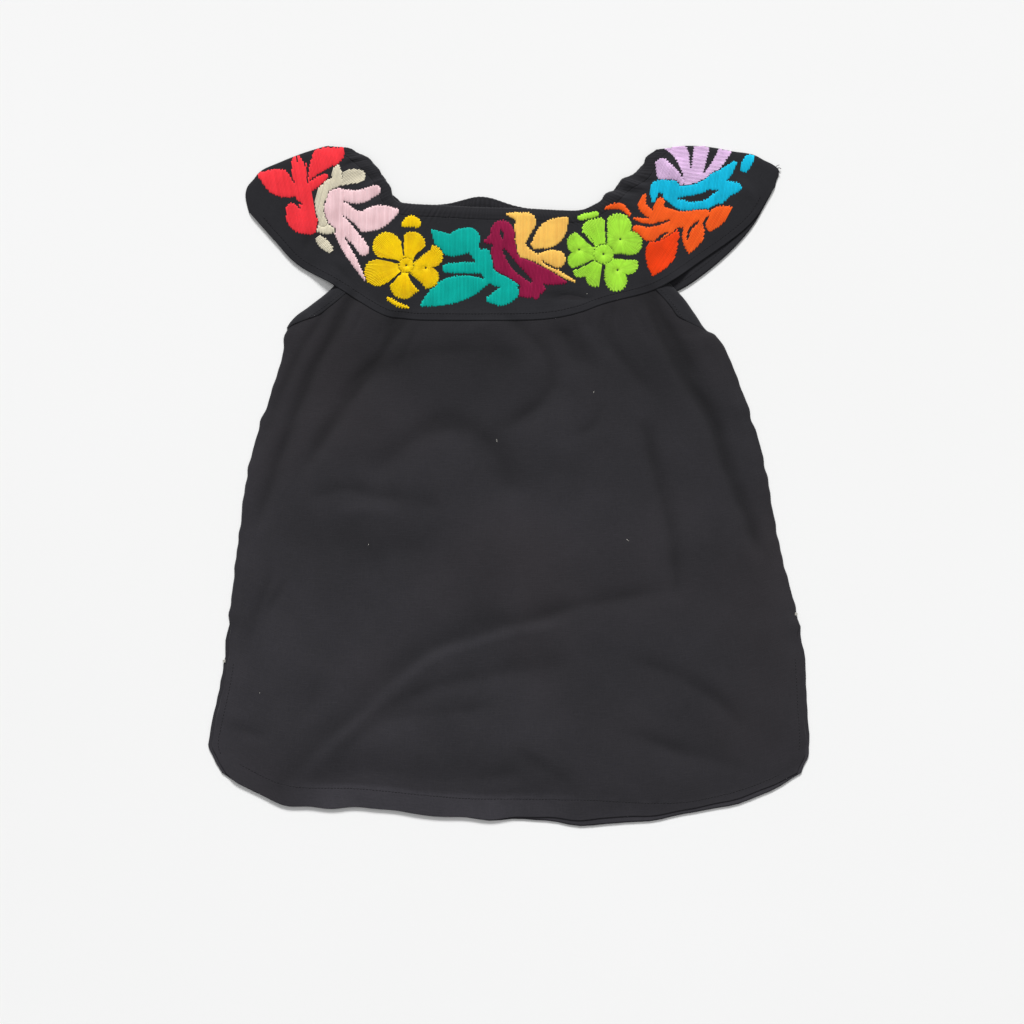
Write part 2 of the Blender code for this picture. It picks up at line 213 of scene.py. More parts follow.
# The camera and the lights, in metres and degrees
CAMERA_OVER = (0.003, -0.026)
CAMERA_HEIGHT = 2.6
CAMERA_SENSOR = 36
FLOOR_IN_VIEW = 1.024
KEY_ELEVATION = 31
KEY_TURN = 2
KEY_SOFTNESS = 16
KEY_STRENGTH = 3.6
TOP_LIGHT_AT = (0.1, 0.6, 3.6)
TOP_LIGHT_SIZE = 2.6
TOP_LIGHT_WATTS = 22
SKY_STRENGTH = 0.27
FLOOR_SIZE = 30
FLOOR_AT = -0.0004

Point = namedtuple("Point", "x y")

BAR_TACKS = [Point(287.0, -129), Point(-284.7, -176)]
LINT = [
    Point(-249, -206), Point(-12, 45), Point(84, 94), Point(117, -52), Point(79, 192),
    Point(-140, -60),
]

LEFT_EDGE = [
    Point(-147, 231), Point(-174, 199), Point(-197, 180), Point(-213, 168), Point(-222, 154),
    Point(-226, 130), Point(-236, 98), Point(-258, 26), Point(-269, -46), Point(-278, -118),
    Point(-287, -190), Point(-297, -238), Point(-300, -262), Point(-287, -286),
]
RIGHT_EDGE = [
    Point(129, 230), Point(168, 193), Point(184, 172), Point(195, 156), Point(207, 150),
    Point(216, 136), Point(231, 98), Point(248, 50), Point(259, 2), Point(267, -46),
    Point(278, -94), Point(288, -130), Point(295, -166), Point(298, -214), Point(300, -260),
    Point(292, -286),
]
FRONT_HEM = [
    Point(-287, -286), Point(-269, -299), Point(-221, -319), Point(-149, -322), Point(-53, -331),
    Point(11, -332), Point(79, -333), Point(121, -331), Point(175, -324), Point(223, -314),
    Point(259, -302), Point(292, -286),
]
BACK_HEM = [
    Point(-287, -286), Point(-250, -308), Point(-221, -317), Point(-149, -321), Point(-53, -331),
    Point(11, -334), Point(79, -339), Point(121, -337), Point(175, -328), Point(223, -319),
    Point(259, -306), Point(292, -286),
]
NECKLINE = [
    Point(-164, 338), Point(-149, 332), Point(-137, 323), Point(-125, 309), Point(-120, 297),
    Point(-114, 287), Point(-103, 282), Point(-69, 280), Point(-29, 278), Point(11, 277),
    Point(51, 275), Point(70, 275), Point(82, 279), Point(97, 289), Point(114, 305),
    Point(130, 315), Point(137, 327), Point(147, 336),
]
FRONT_FLOUNCE_HEM = [
    Point(-259, 273), Point(-234, 245), Point(-211, 221), Point(-174, 200), Point(-129, 172),
    Point(-105, 167), Point(-79, 165), Point(6, 165), Point(43, 167), Point(71, 173),
    Point(96, 182), Point(148, 197), Point(192, 225), Point(240, 261), Point(265, 298),
]
BACK_FLOUNCE_HEM = [
    Point(-258, 273), Point(-231, 248), Point(-208, 225), Point(-174, 206), Point(-129, 178),
    Point(-79, 170), Point(6, 169), Point(71, 172), Point(123, 179), Point(167, 194),
    Point(194, 211), Point(222, 235), Point(243, 259), Point(257, 283), Point(265, 298),
]
LEFT_FOLD = [
    Point(-180, 339.4), Point(-187, 338), Point(-209, 331), Point(-229, 323), Point(-247, 315),
    Point(-255, 306), Point(-261, 299), Point(-263, 290), Point(-261, 280), Point(-259, 273),
]
RIGHT_FOLD = [
    Point(163, 338), Point(179, 339.5), Point(202, 338), Point(223, 334), Point(243, 331),
    Point(255, 325), Point(265, 320), Point(270, 314), Point(267, 306), Point(265, 298),
]

# A fold is a soft trough through four points, or a ridge if it is positive. It
# dies away over one width on the side towards the neck and another below it.
Fold = namedtuple("Fold", "x0 y0 x1 y1 x2 y2 x3 y3 above below rise")
BODY_FOLDS = [
    Fold(-150, 226, -204, 141, -224, 101, -249, 30, 5, 7, -2.8),
    Fold(-134, 226, -185, 134, -216, 62, -256, -52, 6, 7, -4.0),
    Fold(-88, 206, -126, 134, -163, 84, -211, 8, 7, 9, -4.0),
    Fold(-150, 104, -89, 131, -20, 134, 34, 118, 15, 28, -2.3),
    Fold(-49, 140, -38, 156, -14, 163, 10, 152, 6, 6, 0.9),
    Fold(-22, 184, 30, 140, 40, 92, -20, 50, 9, 10, -3.2),
    Fold(18, 161, 50, 106, 53, 46, 53, -104, 16, 14, 0.8),
    Fold(30, 166, 55, 148, 75, 130, 97, 108, 10, 10, -2.4),
    Fold(44, 136, 62, 128, 76, 120, 96, 110, 15, 12, -1.5),
    Fold(58, 164, 86, 140, 104, 124, 124, 103, 9, 9, 1.0),
    Fold(86, 164, 110, 132, 128, 108, 150, 78, 9, 9, -2.2),
    Fold(94, 182, 94, 166, 94, 158, 95, 142, 4, 4, -1.5),
    Fold(103, 182, 103, 164, 103, 150, 105, 130, 4, 4, -1.5),
    Fold(128, 224, 170, 116, 210, 42, 250, -80, 8, 6, -5.4),
    Fold(153, 184, 168, 146, 182, 118, 198, 88, 7, 7, -1.8),
    Fold(129, 72, 150, 6, 163, -54, 169, -118, 8, 7, -3.4),
    Fold(93, 92, 90, 70, 81, 56, 57, 45, 6, 7, -1.4),
    Fold(-146, 4, -90, 47, -36, 54, 20, -18, 13, 16, -2.8),
    Fold(-90, 42, -66, 56, -44, 57, -18, 40, 14, 12, -1.2),
    Fold(-210, -20, -165, -4, -130, -12, -82, -13, 10, 9, -2.2),
    Fold(-104, -4, -88, -12, -74, -17, -60, -30, 10, 11, -1.5),
    Fold(-190, -32, -155, -26, -132, -25, -98, -28, 8, 9, 1.0),
    Fold(-238, -52, -175, -60, -125, -62, -66, -58, 26, 24, -1.6),
    Fold(-246, -318, -166, -239, -72, -161, 60, -126, 15, 12, -3.8),
    Fold(-228, -314, -148, -233, -62, -168, 62, -134, 12, 9, 2.2),
    Fold(20, -134, 81, -119, 121, -110, 172, -102, 10, 9, -2.4),
    Fold(167, -78, 167, -94, 167, -104, 166, -122, 5, 5, -1.6),
    Fold(-186, -288, -111, -220, -29, -191, 70, -176, 14, 13, -2.6),
    Fold(-142, -229, -100, -231, -60, -228, -6, -215, 9, 12, -1.6),
    Fold(-228, -292, -144, -287, -69, -290, 34, -289, 18, 10, -2.6),
    Fold(-186, -285, -150, -284, -132, -284, -96, -288, 14, 10, -1.0),
    Fold(-4, -260, 30, -280, 55, -296, 90, -318, 13, 10, -2.0),
    Fold(-8, -246, 20, -263, 40, -275, 66, -287, 9, 8, 1.2),
    Fold(112, -170, 158, -186, 196, -208, 242, -250, 8, 8, -1.8),
    Fold(108, -244, 171, -266, 211, -274, 258, -287, 9, 8, -1.9),
    Fold(98, -290, 124, -298, 136, -299, 162, -301, 12, 8, -1.3),
    Fold(-237, -74, -246, -110, -252, -135, -260, -172, 4, 5, -1.9),
    Fold(-214, -80, -228, -103, -237, -120, -247, -152, 4, 5, -1.7),
    Fold(-180, -180, -197, -212, -205, -228, -219, -258, 12, 12, -1.2),
    Fold(-286, -234, -266, -242, -252, -248, -232, -252, 7, 7, -1.4),
]
FLOUNCE_FOLDS = [
    Fold(-198, 266, -199, 256, -202, 243, -209, 224, 6, 6, -1.6),
    Fold(-186, 225, -170, 218, -158, 205, -146, 196, 4, 4, -1.0),
    Fold(-146, 198, -132, 186, -118, 171, -94, 168, 4, 4, -1.0),
    Fold(24, 192, 52, 188, 76, 185, 102, 184, 4, 3, -2.0),
    Fold(94, 298, 104, 290, 118, 280, 134, 268, 7, 7, 1.4),
    Fold(112, 312, 122, 306, 134, 298, 146, 290, 6, 6, 1.2),
    Fold(108, 284, 118, 276, 128, 268, 136, 262, 4, 4, -1.0),
    Fold(-134, 322, -146, 318, -160, 314, -172, 310, 6, 6, 1.3),
    Fold(-122, 304, -136, 300, -150, 297, -166, 294, 5, 5, 1.0),
    Fold(-114, 288, -128, 280, -142, 272, -152, 262, 5, 5, 1.0),
    Fold(144, 330, 158, 322, 170, 314, 180, 304, 6, 6, 1.2),
    Fold(216, 312, 232, 302, 244, 290, 250, 276, 7, 7, 1.2),
]

# Short gathers come out from under the flounce, in two groups
Gathers = namedtuple("Gathers", "x_from x_to count lean")
BODY_GATHERS = [
    Gathers(-186, -84, 9, -0.75),
    Gathers(60, 176, 10, 0.55),
]

# Satin stitch: a leaf or stem lies round a line through three points, with a
# half width at its start, middle and end. The threads of a patch run at an
# angle in degrees, or fan out from a point. Slits are left bare.
Leaf = namedtuple("Leaf", "x0 y0 x1 y1 x2 y2 start middle end")
Patch = namedtuple("Patch", "threads leaves")
Motif = namedtuple("Motif", "name colour slits patches")
MOTIFS = [
    Motif("red_leaf_spray", "F93A44", [
        Leaf(-215, 303, -218, 311, -223, 321, 0.6, 1.8, 4.5),
        Leaf(-201, 303, -201, 316, -199, 333, 0.6, 1.4, 3.5),
        Leaf(-198, 305, -189, 311, -176, 317, 0.6, 1.3, 2.6),
        Leaf(-232, 286, -219, 286, -206, 281, 1.4, 1.9, 0.6),
    ], [
        Patch(100, [
            Leaf(-208, 296, -229, 303, -247, 310, 6, 13.5, 4),
            Leaf(-205, 295, -209, 312, -212, 325, 5, 7.5, 5),
            Leaf(-201, 301, -193, 319, -176, 333, 3, 11, 12),
            Leaf(-200, 297, -192, 303, -184, 309, 4, 4.5, 3),
            Leaf(-207, 296, -202, 280, -199, 264, 9, 7, 8),
            Leaf(-199, 258, -211, 265, -217, 277, 7, 10, 5.5),
        ]),
    ]),
    Motif("ivory_plume", "DDD5BE", [], [
        Patch(75, [
            Leaf(-171, 306, -172, 313, -173, 319, 4.5, 5, 3.5),
            Leaf(-172, 303, -184, 298, -189, 284, 5, 5.5, 5),
            Leaf(-189, 285, -189, 273, -186, 263, 5, 4, 4.5),
        ]),
        Patch(25, [
            Leaf(-170, 303, -160, 308, -150, 309, 4, 7, 6.5),
        ]),
        Patch(96, [
            Leaf(-193, 257, -185, 257, -176, 255, 2, 5.5, 2.5),
        ]),
        Patch(35, [
            Leaf(-189, 246, -184, 241, -180, 237, 4, 5, 4),
        ]),
    ]),
    Motif("pink_plume", "F7D1D5", [
        Leaf(-165, 284, -152, 279, -138, 281, 0.6, 1.4, 3.0),
        Leaf(-163, 268, -153, 258, -146, 249, 0.6, 1.6, 1.6),
        Leaf(-163, 247, -155, 235, -147, 222, 0.6, 1.5, 2.0),
    ], [
        Patch(88, [
            Leaf(-175, 296, -179, 280, -168, 256, 6, 8, 7),
            Leaf(-173, 293, -152, 288, -133, 295, 4, 6.5, 5),
            Leaf(-169, 282, -157, 270, -145, 264, 5, 6.5, 9),
            Leaf(-147, 262, -132, 268, -112, 274, 9, 11.5, 2.6),
            Leaf(-166, 263, -152, 246, -145, 235, 5, 6, 5.5),
            Leaf(-171, 262, -161, 236, -143, 204, 7, 4.5, 0.6),
        ]),
    ]),
    Motif("yellow_flower", "FFD00A", [
        Leaf(-105, 230, -106, 240, -107, 252, 0.7, 1.2, 2.4),
        Leaf(-95, 224, -88, 231, -80, 238, 1.0, 2.2, 2.6),
        Leaf(-99, 210, -94, 204, -87, 197, 1.6, 3.2, 3.4),
        Leaf(-111, 210, -118, 203, -127, 196, 0.8, 1.8, 2.6),
        Leaf(-111, 224, -124, 226, -140, 228, 1.0, 1.3, 1.8),
    ], [
        Patch((-102.5, 220), [Leaf(-103, 220, -102.5, 220, -102, 220, 7.2, 7.2, 7.2)]),
        Patch((-83, 217.5), [
            Leaf(-94, 222, -85, 226, -77, 229, 5, 9, 11),
            Leaf(-94, 216, -87, 211, -81, 208, 5, 9, 11),
        ]),
        Patch((-102.5, 220.5), [
            Leaf(-111, 229, -118, 236, -122, 239, 6, 12, 14),
            Leaf(-101, 230, -98, 236, -96, 241, 6, 10.5, 12.5),
            Leaf(-103, 210, -104, 204, -105, 200, 5, 11, 13.5),
            Leaf(-100, 209, -97, 203, -95, 200, 4, 7, 7.5),
            Leaf(-112, 217, -122, 214, -131, 213, 5, 11.5, 13.5),
        ]),
        Patch(85, [Leaf(-107, 260, -98, 264, -92, 262, 1, 5.5, 4.5)]),
        Patch(60, [Leaf(-121, 187, -111, 181, -101, 178, 1.6, 2.2, 1)]),
    ]),
    Motif("teal_leaf_spray", "02AEA1", [], [
        Patch(91, [
            Leaf(-77, 255, -60, 241, -41, 246, 0.8, 11, 12),
            Leaf(-39, 243, -33, 232, -26, 219, 9, 5, 5),
            Leaf(-62, 217, -45, 217.5, -25, 217, 4.5, 5.5, 5),
            Leaf(-24, 231, -23, 222, -21, 212, 5.5, 6.5, 6),
            Leaf(-22, 214, -13, 206, 9, 200, 6, 6, 0.8),
            Leaf(-20, 186, -9, 188, 2, 193, 3, 8.5, 8),
            Leaf(-88, 180, -60, 194, -23, 203, 0.8, 13, 3),
        ]),
    ]),
    Motif("magenta_bird", "951946", [
        Leaf(-8, 254, -7, 251, -6.5, 248, 1.4, 1.8, 1.4),
        Leaf(-5, 235, 6, 219, 22, 204, 1.6, 3.4, 1.4),
    ], [
        Patch(84, [
            Leaf(-7, 254, -6, 252, -5, 250, 11, 11, 11),
            Leaf(-25, 244, -19, 245, -12, 248, 0.8, 4.5, 7),
            Leaf(-5, 246, -2, 222, 24, 203, 10, 13.5, 8),
            Leaf(12, 219, 35, 209, 56, 203, 8, 8, 1.5),
            Leaf(8, 191, 20, 195, 30, 197, 1.5, 7, 6),
            Leaf(20, 205, 24, 197, 27, 189, 10, 8, 3),
        ]),
    ]),
    Motif("apricot_leaf_spray", "FFC562", [
        Leaf(33, 224, 40, 220, 48, 216, 0.6, 1.1, 0.6),
    ], [
        Patch(90, [
            Leaf(-2, 271, 8, 269, 16, 265, 0.8, 4, 6),
            Leaf(11, 244, 14, 256, 17, 263, 6, 8.5, 10),
            Leaf(10, 250, 13, 235, 32, 223, 5, 6, 5),
            Leaf(30, 224, 46, 214, 66, 204, 5, 3, 0.8),
            Leaf(27, 241, 42, 252, 58, 267, 5, 12.5, 1.5),
            Leaf(31, 228, 41, 228, 48, 226, 4, 7, 8.5),
        ]),
    ]),
    Motif("green_flower", "ABE643", [
        Leaf(97, 242, 97, 254, 96.5, 268, 0.8, 1.2, 1.8),
        Leaf(105, 228, 115, 228, 127, 228, 1.4, 2.4, 2.8),
        Leaf(93.5, 219, 93.5, 211, 93, 203, 0.9, 1.6, 2.6),
        Leaf(84, 225, 74, 220, 62, 215, 0.8, 1.0, 1.4),
        Leaf(84, 239, 78, 245, 70, 253, 1.2, 1.8, 2.2),
    ], [
        Patch((94.3, 231.2), [Leaf(94, 231, 94.3, 231.2, 94.6, 231, 9.6, 9.6, 9.6)]),
        Patch((111, 246), [
            Leaf(102, 241, 106, 251, 109, 259, 5, 10.5, 13),
            Leaf(105, 236, 113, 240, 121, 242, 5, 9.5, 12),
        ]),
        Patch((108.4, 215.3), [
            Leaf(104, 225, 112, 223, 119, 221, 4, 8.5, 10),
            Leaf(100, 221, 104, 212, 107, 205, 4, 9, 11),
        ]),
        Patch((70, 235.6), [
            Leaf(82, 236, 74, 240, 69, 242, 7, 10.5, 11),
            Leaf(82, 230, 72, 228, 67, 225, 6, 9, 8.5),
        ]),
        Patch((94.3, 231.6), [
            Leaf(89, 241, 86, 249, 84, 255, 5, 9.5, 11),
            Leaf(93, 243, 91, 250, 90, 258, 4, 7, 9.5),
            Leaf(88, 221, 86, 214, 86, 208, 5, 8.5, 9.5),
            Leaf(84, 222, 76, 217, 70, 214, 5, 7.5, 6),
        ]),
        Patch(80, [Leaf(71, 267.5, 79, 269.5, 87, 271, 2.6, 3.2, 2.6)]),
    ]),
    Motif("orange_leaf_spray", "FF6220", [
        Leaf(146, 244, 152, 249, 158, 253, 1.0, 1.5, 0.8),
        Leaf(126, 262, 143, 260, 160, 265, 0.8, 1.4, 0.8),
        Leaf(178, 246, 181, 256, 189, 264, 0.8, 1.5, 0.8),
        Leaf(198, 252, 195, 262, 199, 269, 1.5, 1.4, 0.8),
    ], [
        Patch(62, [
            Leaf(95, 277, 111, 279, 121, 270, 0.7, 3, 1.2),
            Leaf(136, 291, 133, 279, 147, 267, 0.8, 4.5, 2),
            Leaf(151, 283, 149, 275, 158, 267, 4.5, 5.5, 6),
            Leaf(124, 267, 139, 264, 154, 268, 0.8, 3, 3),
            Leaf(156, 271, 172, 266, 196, 270, 7, 8, 6),
            Leaf(126, 257, 143, 251, 163, 262, 3, 7.5, 7),
            Leaf(188, 264, 183, 248, 180, 233, 7, 10.5, 1.2),
            Leaf(222, 278, 209, 270, 200, 260, 1, 8.5, 6),
        ]),
    ]),
    Motif("vermilion_leaf", "F0430F", [
        Leaf(146, 244, 152, 249, 158, 253, 1.0, 1.5, 0.8),
    ], [
        Patch(58, [Leaf(161, 250, 152, 235, 143.5, 210, 9, 14.5, 0.8)]),
    ]),
    Motif("cyan_wing", "12BDE0", [
        Leaf(169, 287, 188, 288, 208, 295, 0.8, 3.0, 0.8),
    ], [
        Patch(82, [
            Leaf(144, 284, 147, 298, 163, 297, 1.6, 6, 8),
            Leaf(163, 292, 186, 296, 208, 306, 7, 5.5, 6),
            Leaf(205, 305, 216, 312, 225, 322, 7, 6, 2.5),
            Leaf(208, 300, 217, 297, 227, 298, 7, 8, 5),
            Leaf(214, 298, 213, 290, 212, 284, 8, 7.5, 2.5),
            Leaf(160, 290, 176, 279, 196, 280, 6, 5.2, 4.5),
            Leaf(194, 280, 204, 285, 212, 293, 4.5, 5, 6),
            Leaf(241, 328, 238, 323, 235, 317, 4.2, 5, 4),
        ]),
    ]),
    Motif("lilac_fan", "E2C1E6", [
        Leaf(150, 336, 163, 326, 173, 310, 4, 3, 1),
        Leaf(182, 343, 182, 331, 181.5, 318, 3.4, 1.8, 0.8),
        Leaf(206, 343, 202, 329, 195, 314, 4.6, 3.6, 0.8),
    ], [
        Patch(70, [Leaf(153, 320, 158, 311, 167, 303, 7, 10, 8)]),
        Patch(4, [
            Leaf(166, 303, 181, 307, 198, 309, 5, 8, 6),
            Leaf(174, 312, 172, 326, 160, 343, 7, 10, 14),
            Leaf(184, 310, 190, 326, 196, 345, 8, 9.5, 10),
            Leaf(194, 312, 206, 324, 219, 343, 8, 8, 8),
        ]),
    ]),
]


def linear(colour):
    """An sRGB hex colour as linear red, green, blue and alpha."""
    parts = [int(colour[i : i + 2], 16) / 255 for i in (0, 2, 4)]
    low = [part / 12.92 for part in parts]
    high = [((part + 0.055) / 1.055) ** 2.4 for part in parts]
    return (*[lo if part <= 0.04045 else hi for part, lo, hi in zip(parts, low, high)], 1)


def smooth(share):
    """An S-curve from 0 to 1."""
    share = np.clip(share, 0, 1)
    return share * share * (3 - 2 * share)


def lengths_along(line):
    """Distance along a line of points, at each of them."""
    return np.concatenate([[0], np.cumsum(np.linalg.norm(np.diff(line, axis=0), axis=1))])


def sideways(line):
    """A step of length 1 at each point of a line, to its left as it runs."""
    heading = np.gradient(line, axis=0)
    heading /= np.linalg.norm(heading, axis=1, keepdims=True)
    return np.stack([-heading[:, 1], heading[:, 0]], axis=1)


def through(points, share, steps=12):
    """Points at these shares of the length of a smooth line through points."""
    knots = np.array(points, float)
    knots = np.vstack([2 * knots[0] - knots[1], knots, 2 * knots[-1] - knots[-2]])
    t = np.linspace(0, 1, steps, endpoint=False)[:, None]
    line = []
    for before, start, end, after in zip(knots, knots[1:], knots[2:], knots[3:]):
        bend = 2 * before - 5 * start + 4 * end - after
        twist = 3 * start - before - 3 * end + after
        line.append(start + 0.5 * t * (end - before + t * (bend + t * twist)))
    line = np.vstack(line + [knots[-2:-1]])
    length = lengths_along(line)
    at = np.asarray(share) * length[-1]
    return np.stack([np.interp(at, length, line[:, k]) for k in (0, 1)], axis=-1)


def panel(top, bottom, left, right, across, down):
    """Points of a panel between its four edges, at shares across and down."""
    u = np.asarray(across)[..., None]
    v = np.asarray(down)[..., None]
    between_ends = (1 - v) * through(top, across) + v * through(bottom, across)
    between_sides = (1 - u) * through(left, down) + u * through(right, down)
    corners = (1 - u) * ((1 - v) * np.array(left[0]) + v * np.array(left[-1]))
    corners += u * ((1 - v) * np.array(right[0]) + v * np.array(right[-1]))
    return between_ends + between_sides - corners


def distance_to(x, y, line):
    """Distance to a line of points, the share along it and how far above it."""
    nearest = np.full(np.shape(x), np.inf)
    along = np.zeros(np.shape(x))
    above = np.zeros(np.shape(x))
    for i, (start, end) in enumerate(zip(line, line[1:])):
        step = end - start
        share = ((x - start[0]) * step[0] + (y - start[1]) * step[1]) / (step @ step)
        share = np.clip(share, 0, 1)
        up = y - start[1] - share * step[1]
        far = np.hypot(x - start[0] - share * step[0], up)
        nearer = far < nearest
        along = np.where(nearer, (i + share) / (len(line) - 1), along)
        above = np.where(nearer, up, above)
        nearest = np.minimum(nearest, far)
    return nearest, along, above


def unevenness(x, y, seed, longest, shortest, waves=14):
    """Soft random hollows and swellings of these sizes, most of them from -1 to 1."""
    draw = np.random.default_rng(seed)
    total = np.zeros(np.shape(x))
    for _ in range(waves):
        size = draw.uniform(shortest, longest)
        turn = draw.uniform(0, 2 * np.pi)
        phase = draw.uniform(0, 2 * np.pi)
        along = x * np.cos(turn) + y * np.sin(turn)
        total += np.sin(2 * np.pi * along / size + phase)
    return total / np.sqrt(waves)


def fold_height(x, y, folds):
    """Height that the folds add to a cloth at x, y, a little uneven along them."""
    x = x + FOLD_WANDER * unevenness(x, y, 41, 150, 60)
    y = y + FOLD_WANDER * unevenness(x, y, 42, 150, 60)
    total = np.zeros(np.shape(x))
    for fold in folds:
        points = np.array(fold[:8]).reshape(4, 2)
        line = through(points, np.linspace(0, 1, 13))
        length = lengths_along(line)[-1]
        far, along, up = distance_to(x, y, line)
        from_end = np.minimum(along, 1 - along) * length
        fading = smooth(from_end / min(FOLD_FADE, length / 2))
        above = 0.5 + 0.5 * up / np.maximum(far, 1e-6)
        width = fold.below + (fold.above - fold.below) * above
        total += fold.rise * fading * np.exp(-((far / width) ** FOLD_ROUNDNESS))
    return total * (1 + FOLD_UNEVENNESS * unevenness(x, y, 43, 80, 35))


def below_flounce(x, y, hem):
    """Distance from x, y up to the flounce's lower edge, negative above it."""
    edge = through(hem, np.linspace(0, 1, 80))
    return np.interp(x, edge[:, 0], edge[:, 1]) - y


def body_back_height(x, y):
    """The back panel lies on the flounce's back, then comes down to the floor."""
    below = below_flounce(x, y, BACK_FLOUNCE_HEM)
    return LAYER * (1 - smooth((below - BACK_DROP_FROM) / BACK_DROP_OVER))


def gather_folds():
    """Rows for the short gathers under the flounce, no two alike."""
    draw = np.random.default_rng(7)
    rows = []
    for group in BODY_GATHERS:
        places = np.linspace(group.x_from, group.x_to, group.count)
        for x in places + draw.uniform(-5, 5, group.count):
            y = float(below_flounce(x, 0, FRONT_FLOUNCE_HEM)) + 10
            length = draw.uniform(26, 70)
            lean = group.lean * draw.uniform(0.4, 1.1)
            bow = draw.uniform(-3, 3)
            points = []
            for share in (0, 0.33, 0.67, 1):
                points += [x + lean * length * share + bow * share * (1 - share) * 4]
                points += [y - length * share]
            width = draw.uniform(3.2, 5.4)
            rows.append(Fold(*points, width, width, -draw.uniform(0.7, 1.4)))
    return rows


ALL_BODY_FOLDS = BODY_FOLDS + gather_folds()


def body_front_rise(x, y, from_seam, from_hem):
    """Height of the front panel over its resting height: a puff with folds in it."""
    free = smooth((below_flounce(x, y, FRONT_FLOUNCE_HEM) + PRESSED_ABOVE) / PRESSED_OVER)
    lowest = HEM_PUFF * (1 - smooth((x - 40) / 80))
    at_hem = lowest + (1 - lowest) * smooth(from_hem / PUFF_FROM_HEM)
    puff = smooth(from_seam / PUFF_FROM_SEAM) * at_hem
    folds = fold_height(x, y, ALL_BODY_FOLDS) * (FOLD_AT_EDGE + (1 - FOLD_AT_EDGE) * puff)
    swell = 0.8 * unevenness(x, y, 3, 190, 70) + 0.1 * unevenness(x, y, 4, 60, 25)
    total = free * (BODY_PUFF * (SEAM_PUFF + (1 - SEAM_PUFF) * puff) + folds + swell)
    return LOWEST_RISE + (total - LOWEST_RISE + np.hypot(total - LOWEST_RISE, ROUNDING)) / 2


def body_front_height(x, y, from_seam=FAR_FROM_EDGE, from_hem=FAR_FROM_EDGE):
    """The front panel lies on the back one, raised where it puffs."""
    below = below_flounce(x, y, BACK_FLOUNCE_HEM)
    rest = LAYER * (2 - smooth((below - FRONT_DROP_FROM) / FRONT_DROP_OVER))
    near_seam = smooth(np.asarray(from_seam) / 12)
    return rest + body_front_rise(x, y, from_seam, from_hem) * near_seam


def hem_form(x, y, from_seam, from_hem):
    """The stiff turned hem curls up left of the middle, and the sides crinkle."""
    where = smooth((x + 230) / 60) * smooth((90 - x) / 80)
    crinkle = unevenness(x, y * 0.35, 15, 30, 14) * smooth(1 - from_seam / 90)
    return HEM_CURL * where * smooth(1 - from_hem / 34) + SIDE_CRINKLE * crinkle


def painted_light_and_shade(x, y, from_hem):
    """Share by which the front's colour is painted lighter or darker.

    It is painted lighter on the folds' ridges and darker in their creases, as
    painted light and painted shade, and darker by the flounce's edge, as painted
    shadow. The hem band and the right of the hem's rim are painted lighter, as
    painted light. It is also lighter low on the left and darker at the top and on
    the right.
    """
    on_hem = smooth((x + 225) / 60) * smooth((120 - x) / 160) * smooth((27 - from_hem) / 7)
    on_right_rim = smooth((x - 20) / 80) * smooth(1 - from_hem / 14)
    low_left = smooth((-60 - y) / 120) * smooth((90 - x) / 200)
    by_flounce = smooth(1 - below_flounce(x, y, FRONT_FLOUNCE_HEM) / 16)
    at_top = smooth((y - 20) / 120)
    on_right = smooth((x - 40) / 140)
    lighter = 0.07 * fold_height(x, y, BODY_FOLDS)
    lighter += 0.62 * on_hem + 0.2 * on_right_rim + 0.17 * low_left
    darker = 0.03 + 0.12 * by_flounce + 0.14 * at_top + 0.07 * on_right
    return np.clip(lighter - darker, -0.45, 0.65)


def neckline(across, back):
    """The neckline's edge from the left shoulder to the right one."""
    xy = through(NECKLINE, across)
    if back:
        off_peak = (xy[..., 0] - BACK_PEEK_AT) / BACK_PEEK_WIDTH
        xy[..., 1] += BACK_PEEK * np.exp(-(off_peak**2))
    return xy


def casing_edge(across, back):
    """The casing's lower edge, where the flounce and the panels are sewn on."""
    along = neckline(np.minimum(across + 0.004, 1), back)
    along -= neckline(np.maximum(across - 0.004, 0), back)
    along /= np.linalg.norm(along, axis=-1, keepdims=True)
    inward = np.stack([along[..., 1], -along[..., 0]], axis=-1)
    at_left = np.subtract(LEFT_FOLD[0], NECKLINE[0])
    at_right = np.subtract(RIGHT_FOLD[0], NECKLINE[-1])
    at_end = np.where(across[..., None] < 0.5, at_left, at_right)
    free = smooth(np.minimum(across, 1 - across) / FOLD_SHARE)[..., None]
    return neckline(across, back) + free * CASING_WIDTH * inward + (1 - free) * at_end


def flounce_point(across, down, back):
    """A point of the flounce, from its casing (0) down to its edge (1)."""
    top = casing_edge(np.linspace(0, 1, 121), back)
    hem = BACK_FLOUNCE_HEM if back else FRONT_FLOUNCE_HEM
    xy = panel(top, hem, LEFT_FOLD, RIGHT_FOLD, across, down)
    return xy[..., 0], xy[..., 1]


def body_point(across, down, back):
    """A point of a body panel, from the casing (0) down to the hem (1).

    Past the slits the front is a little narrower than the back.
    """
    x, y = flounce_point(np.linspace(BODY_FROM, BODY_TO, 20), np.zeros(20), back)
    top = np.stack([x, y], axis=-1)
    hem = BACK_HEM if back else FRONT_HEM
    left = [top[0], *LEFT_EDGE]
    right = [top[-1], *RIGHT_EDGE]
    xy = panel(top, hem, left, right, across, down)
    if not back:
        open_slit = smooth((SLIT_TOP - xy[..., 1]) / 30)
        xy[..., 0] -= SLIT_INSET * open_slit * (2 * np.asarray(across) - 1) ** 3
    return xy[..., 0], xy[..., 1]


def body_seam_distance(across, down, back):
    """Distance in millimetres from a point of a body panel to its nearer side."""
    left, _ = body_point(np.zeros_like(across), down, back)
    right, _ = body_point(np.ones_like(across), down, back)
    return np.minimum(across, 1 - across) * (right - left)


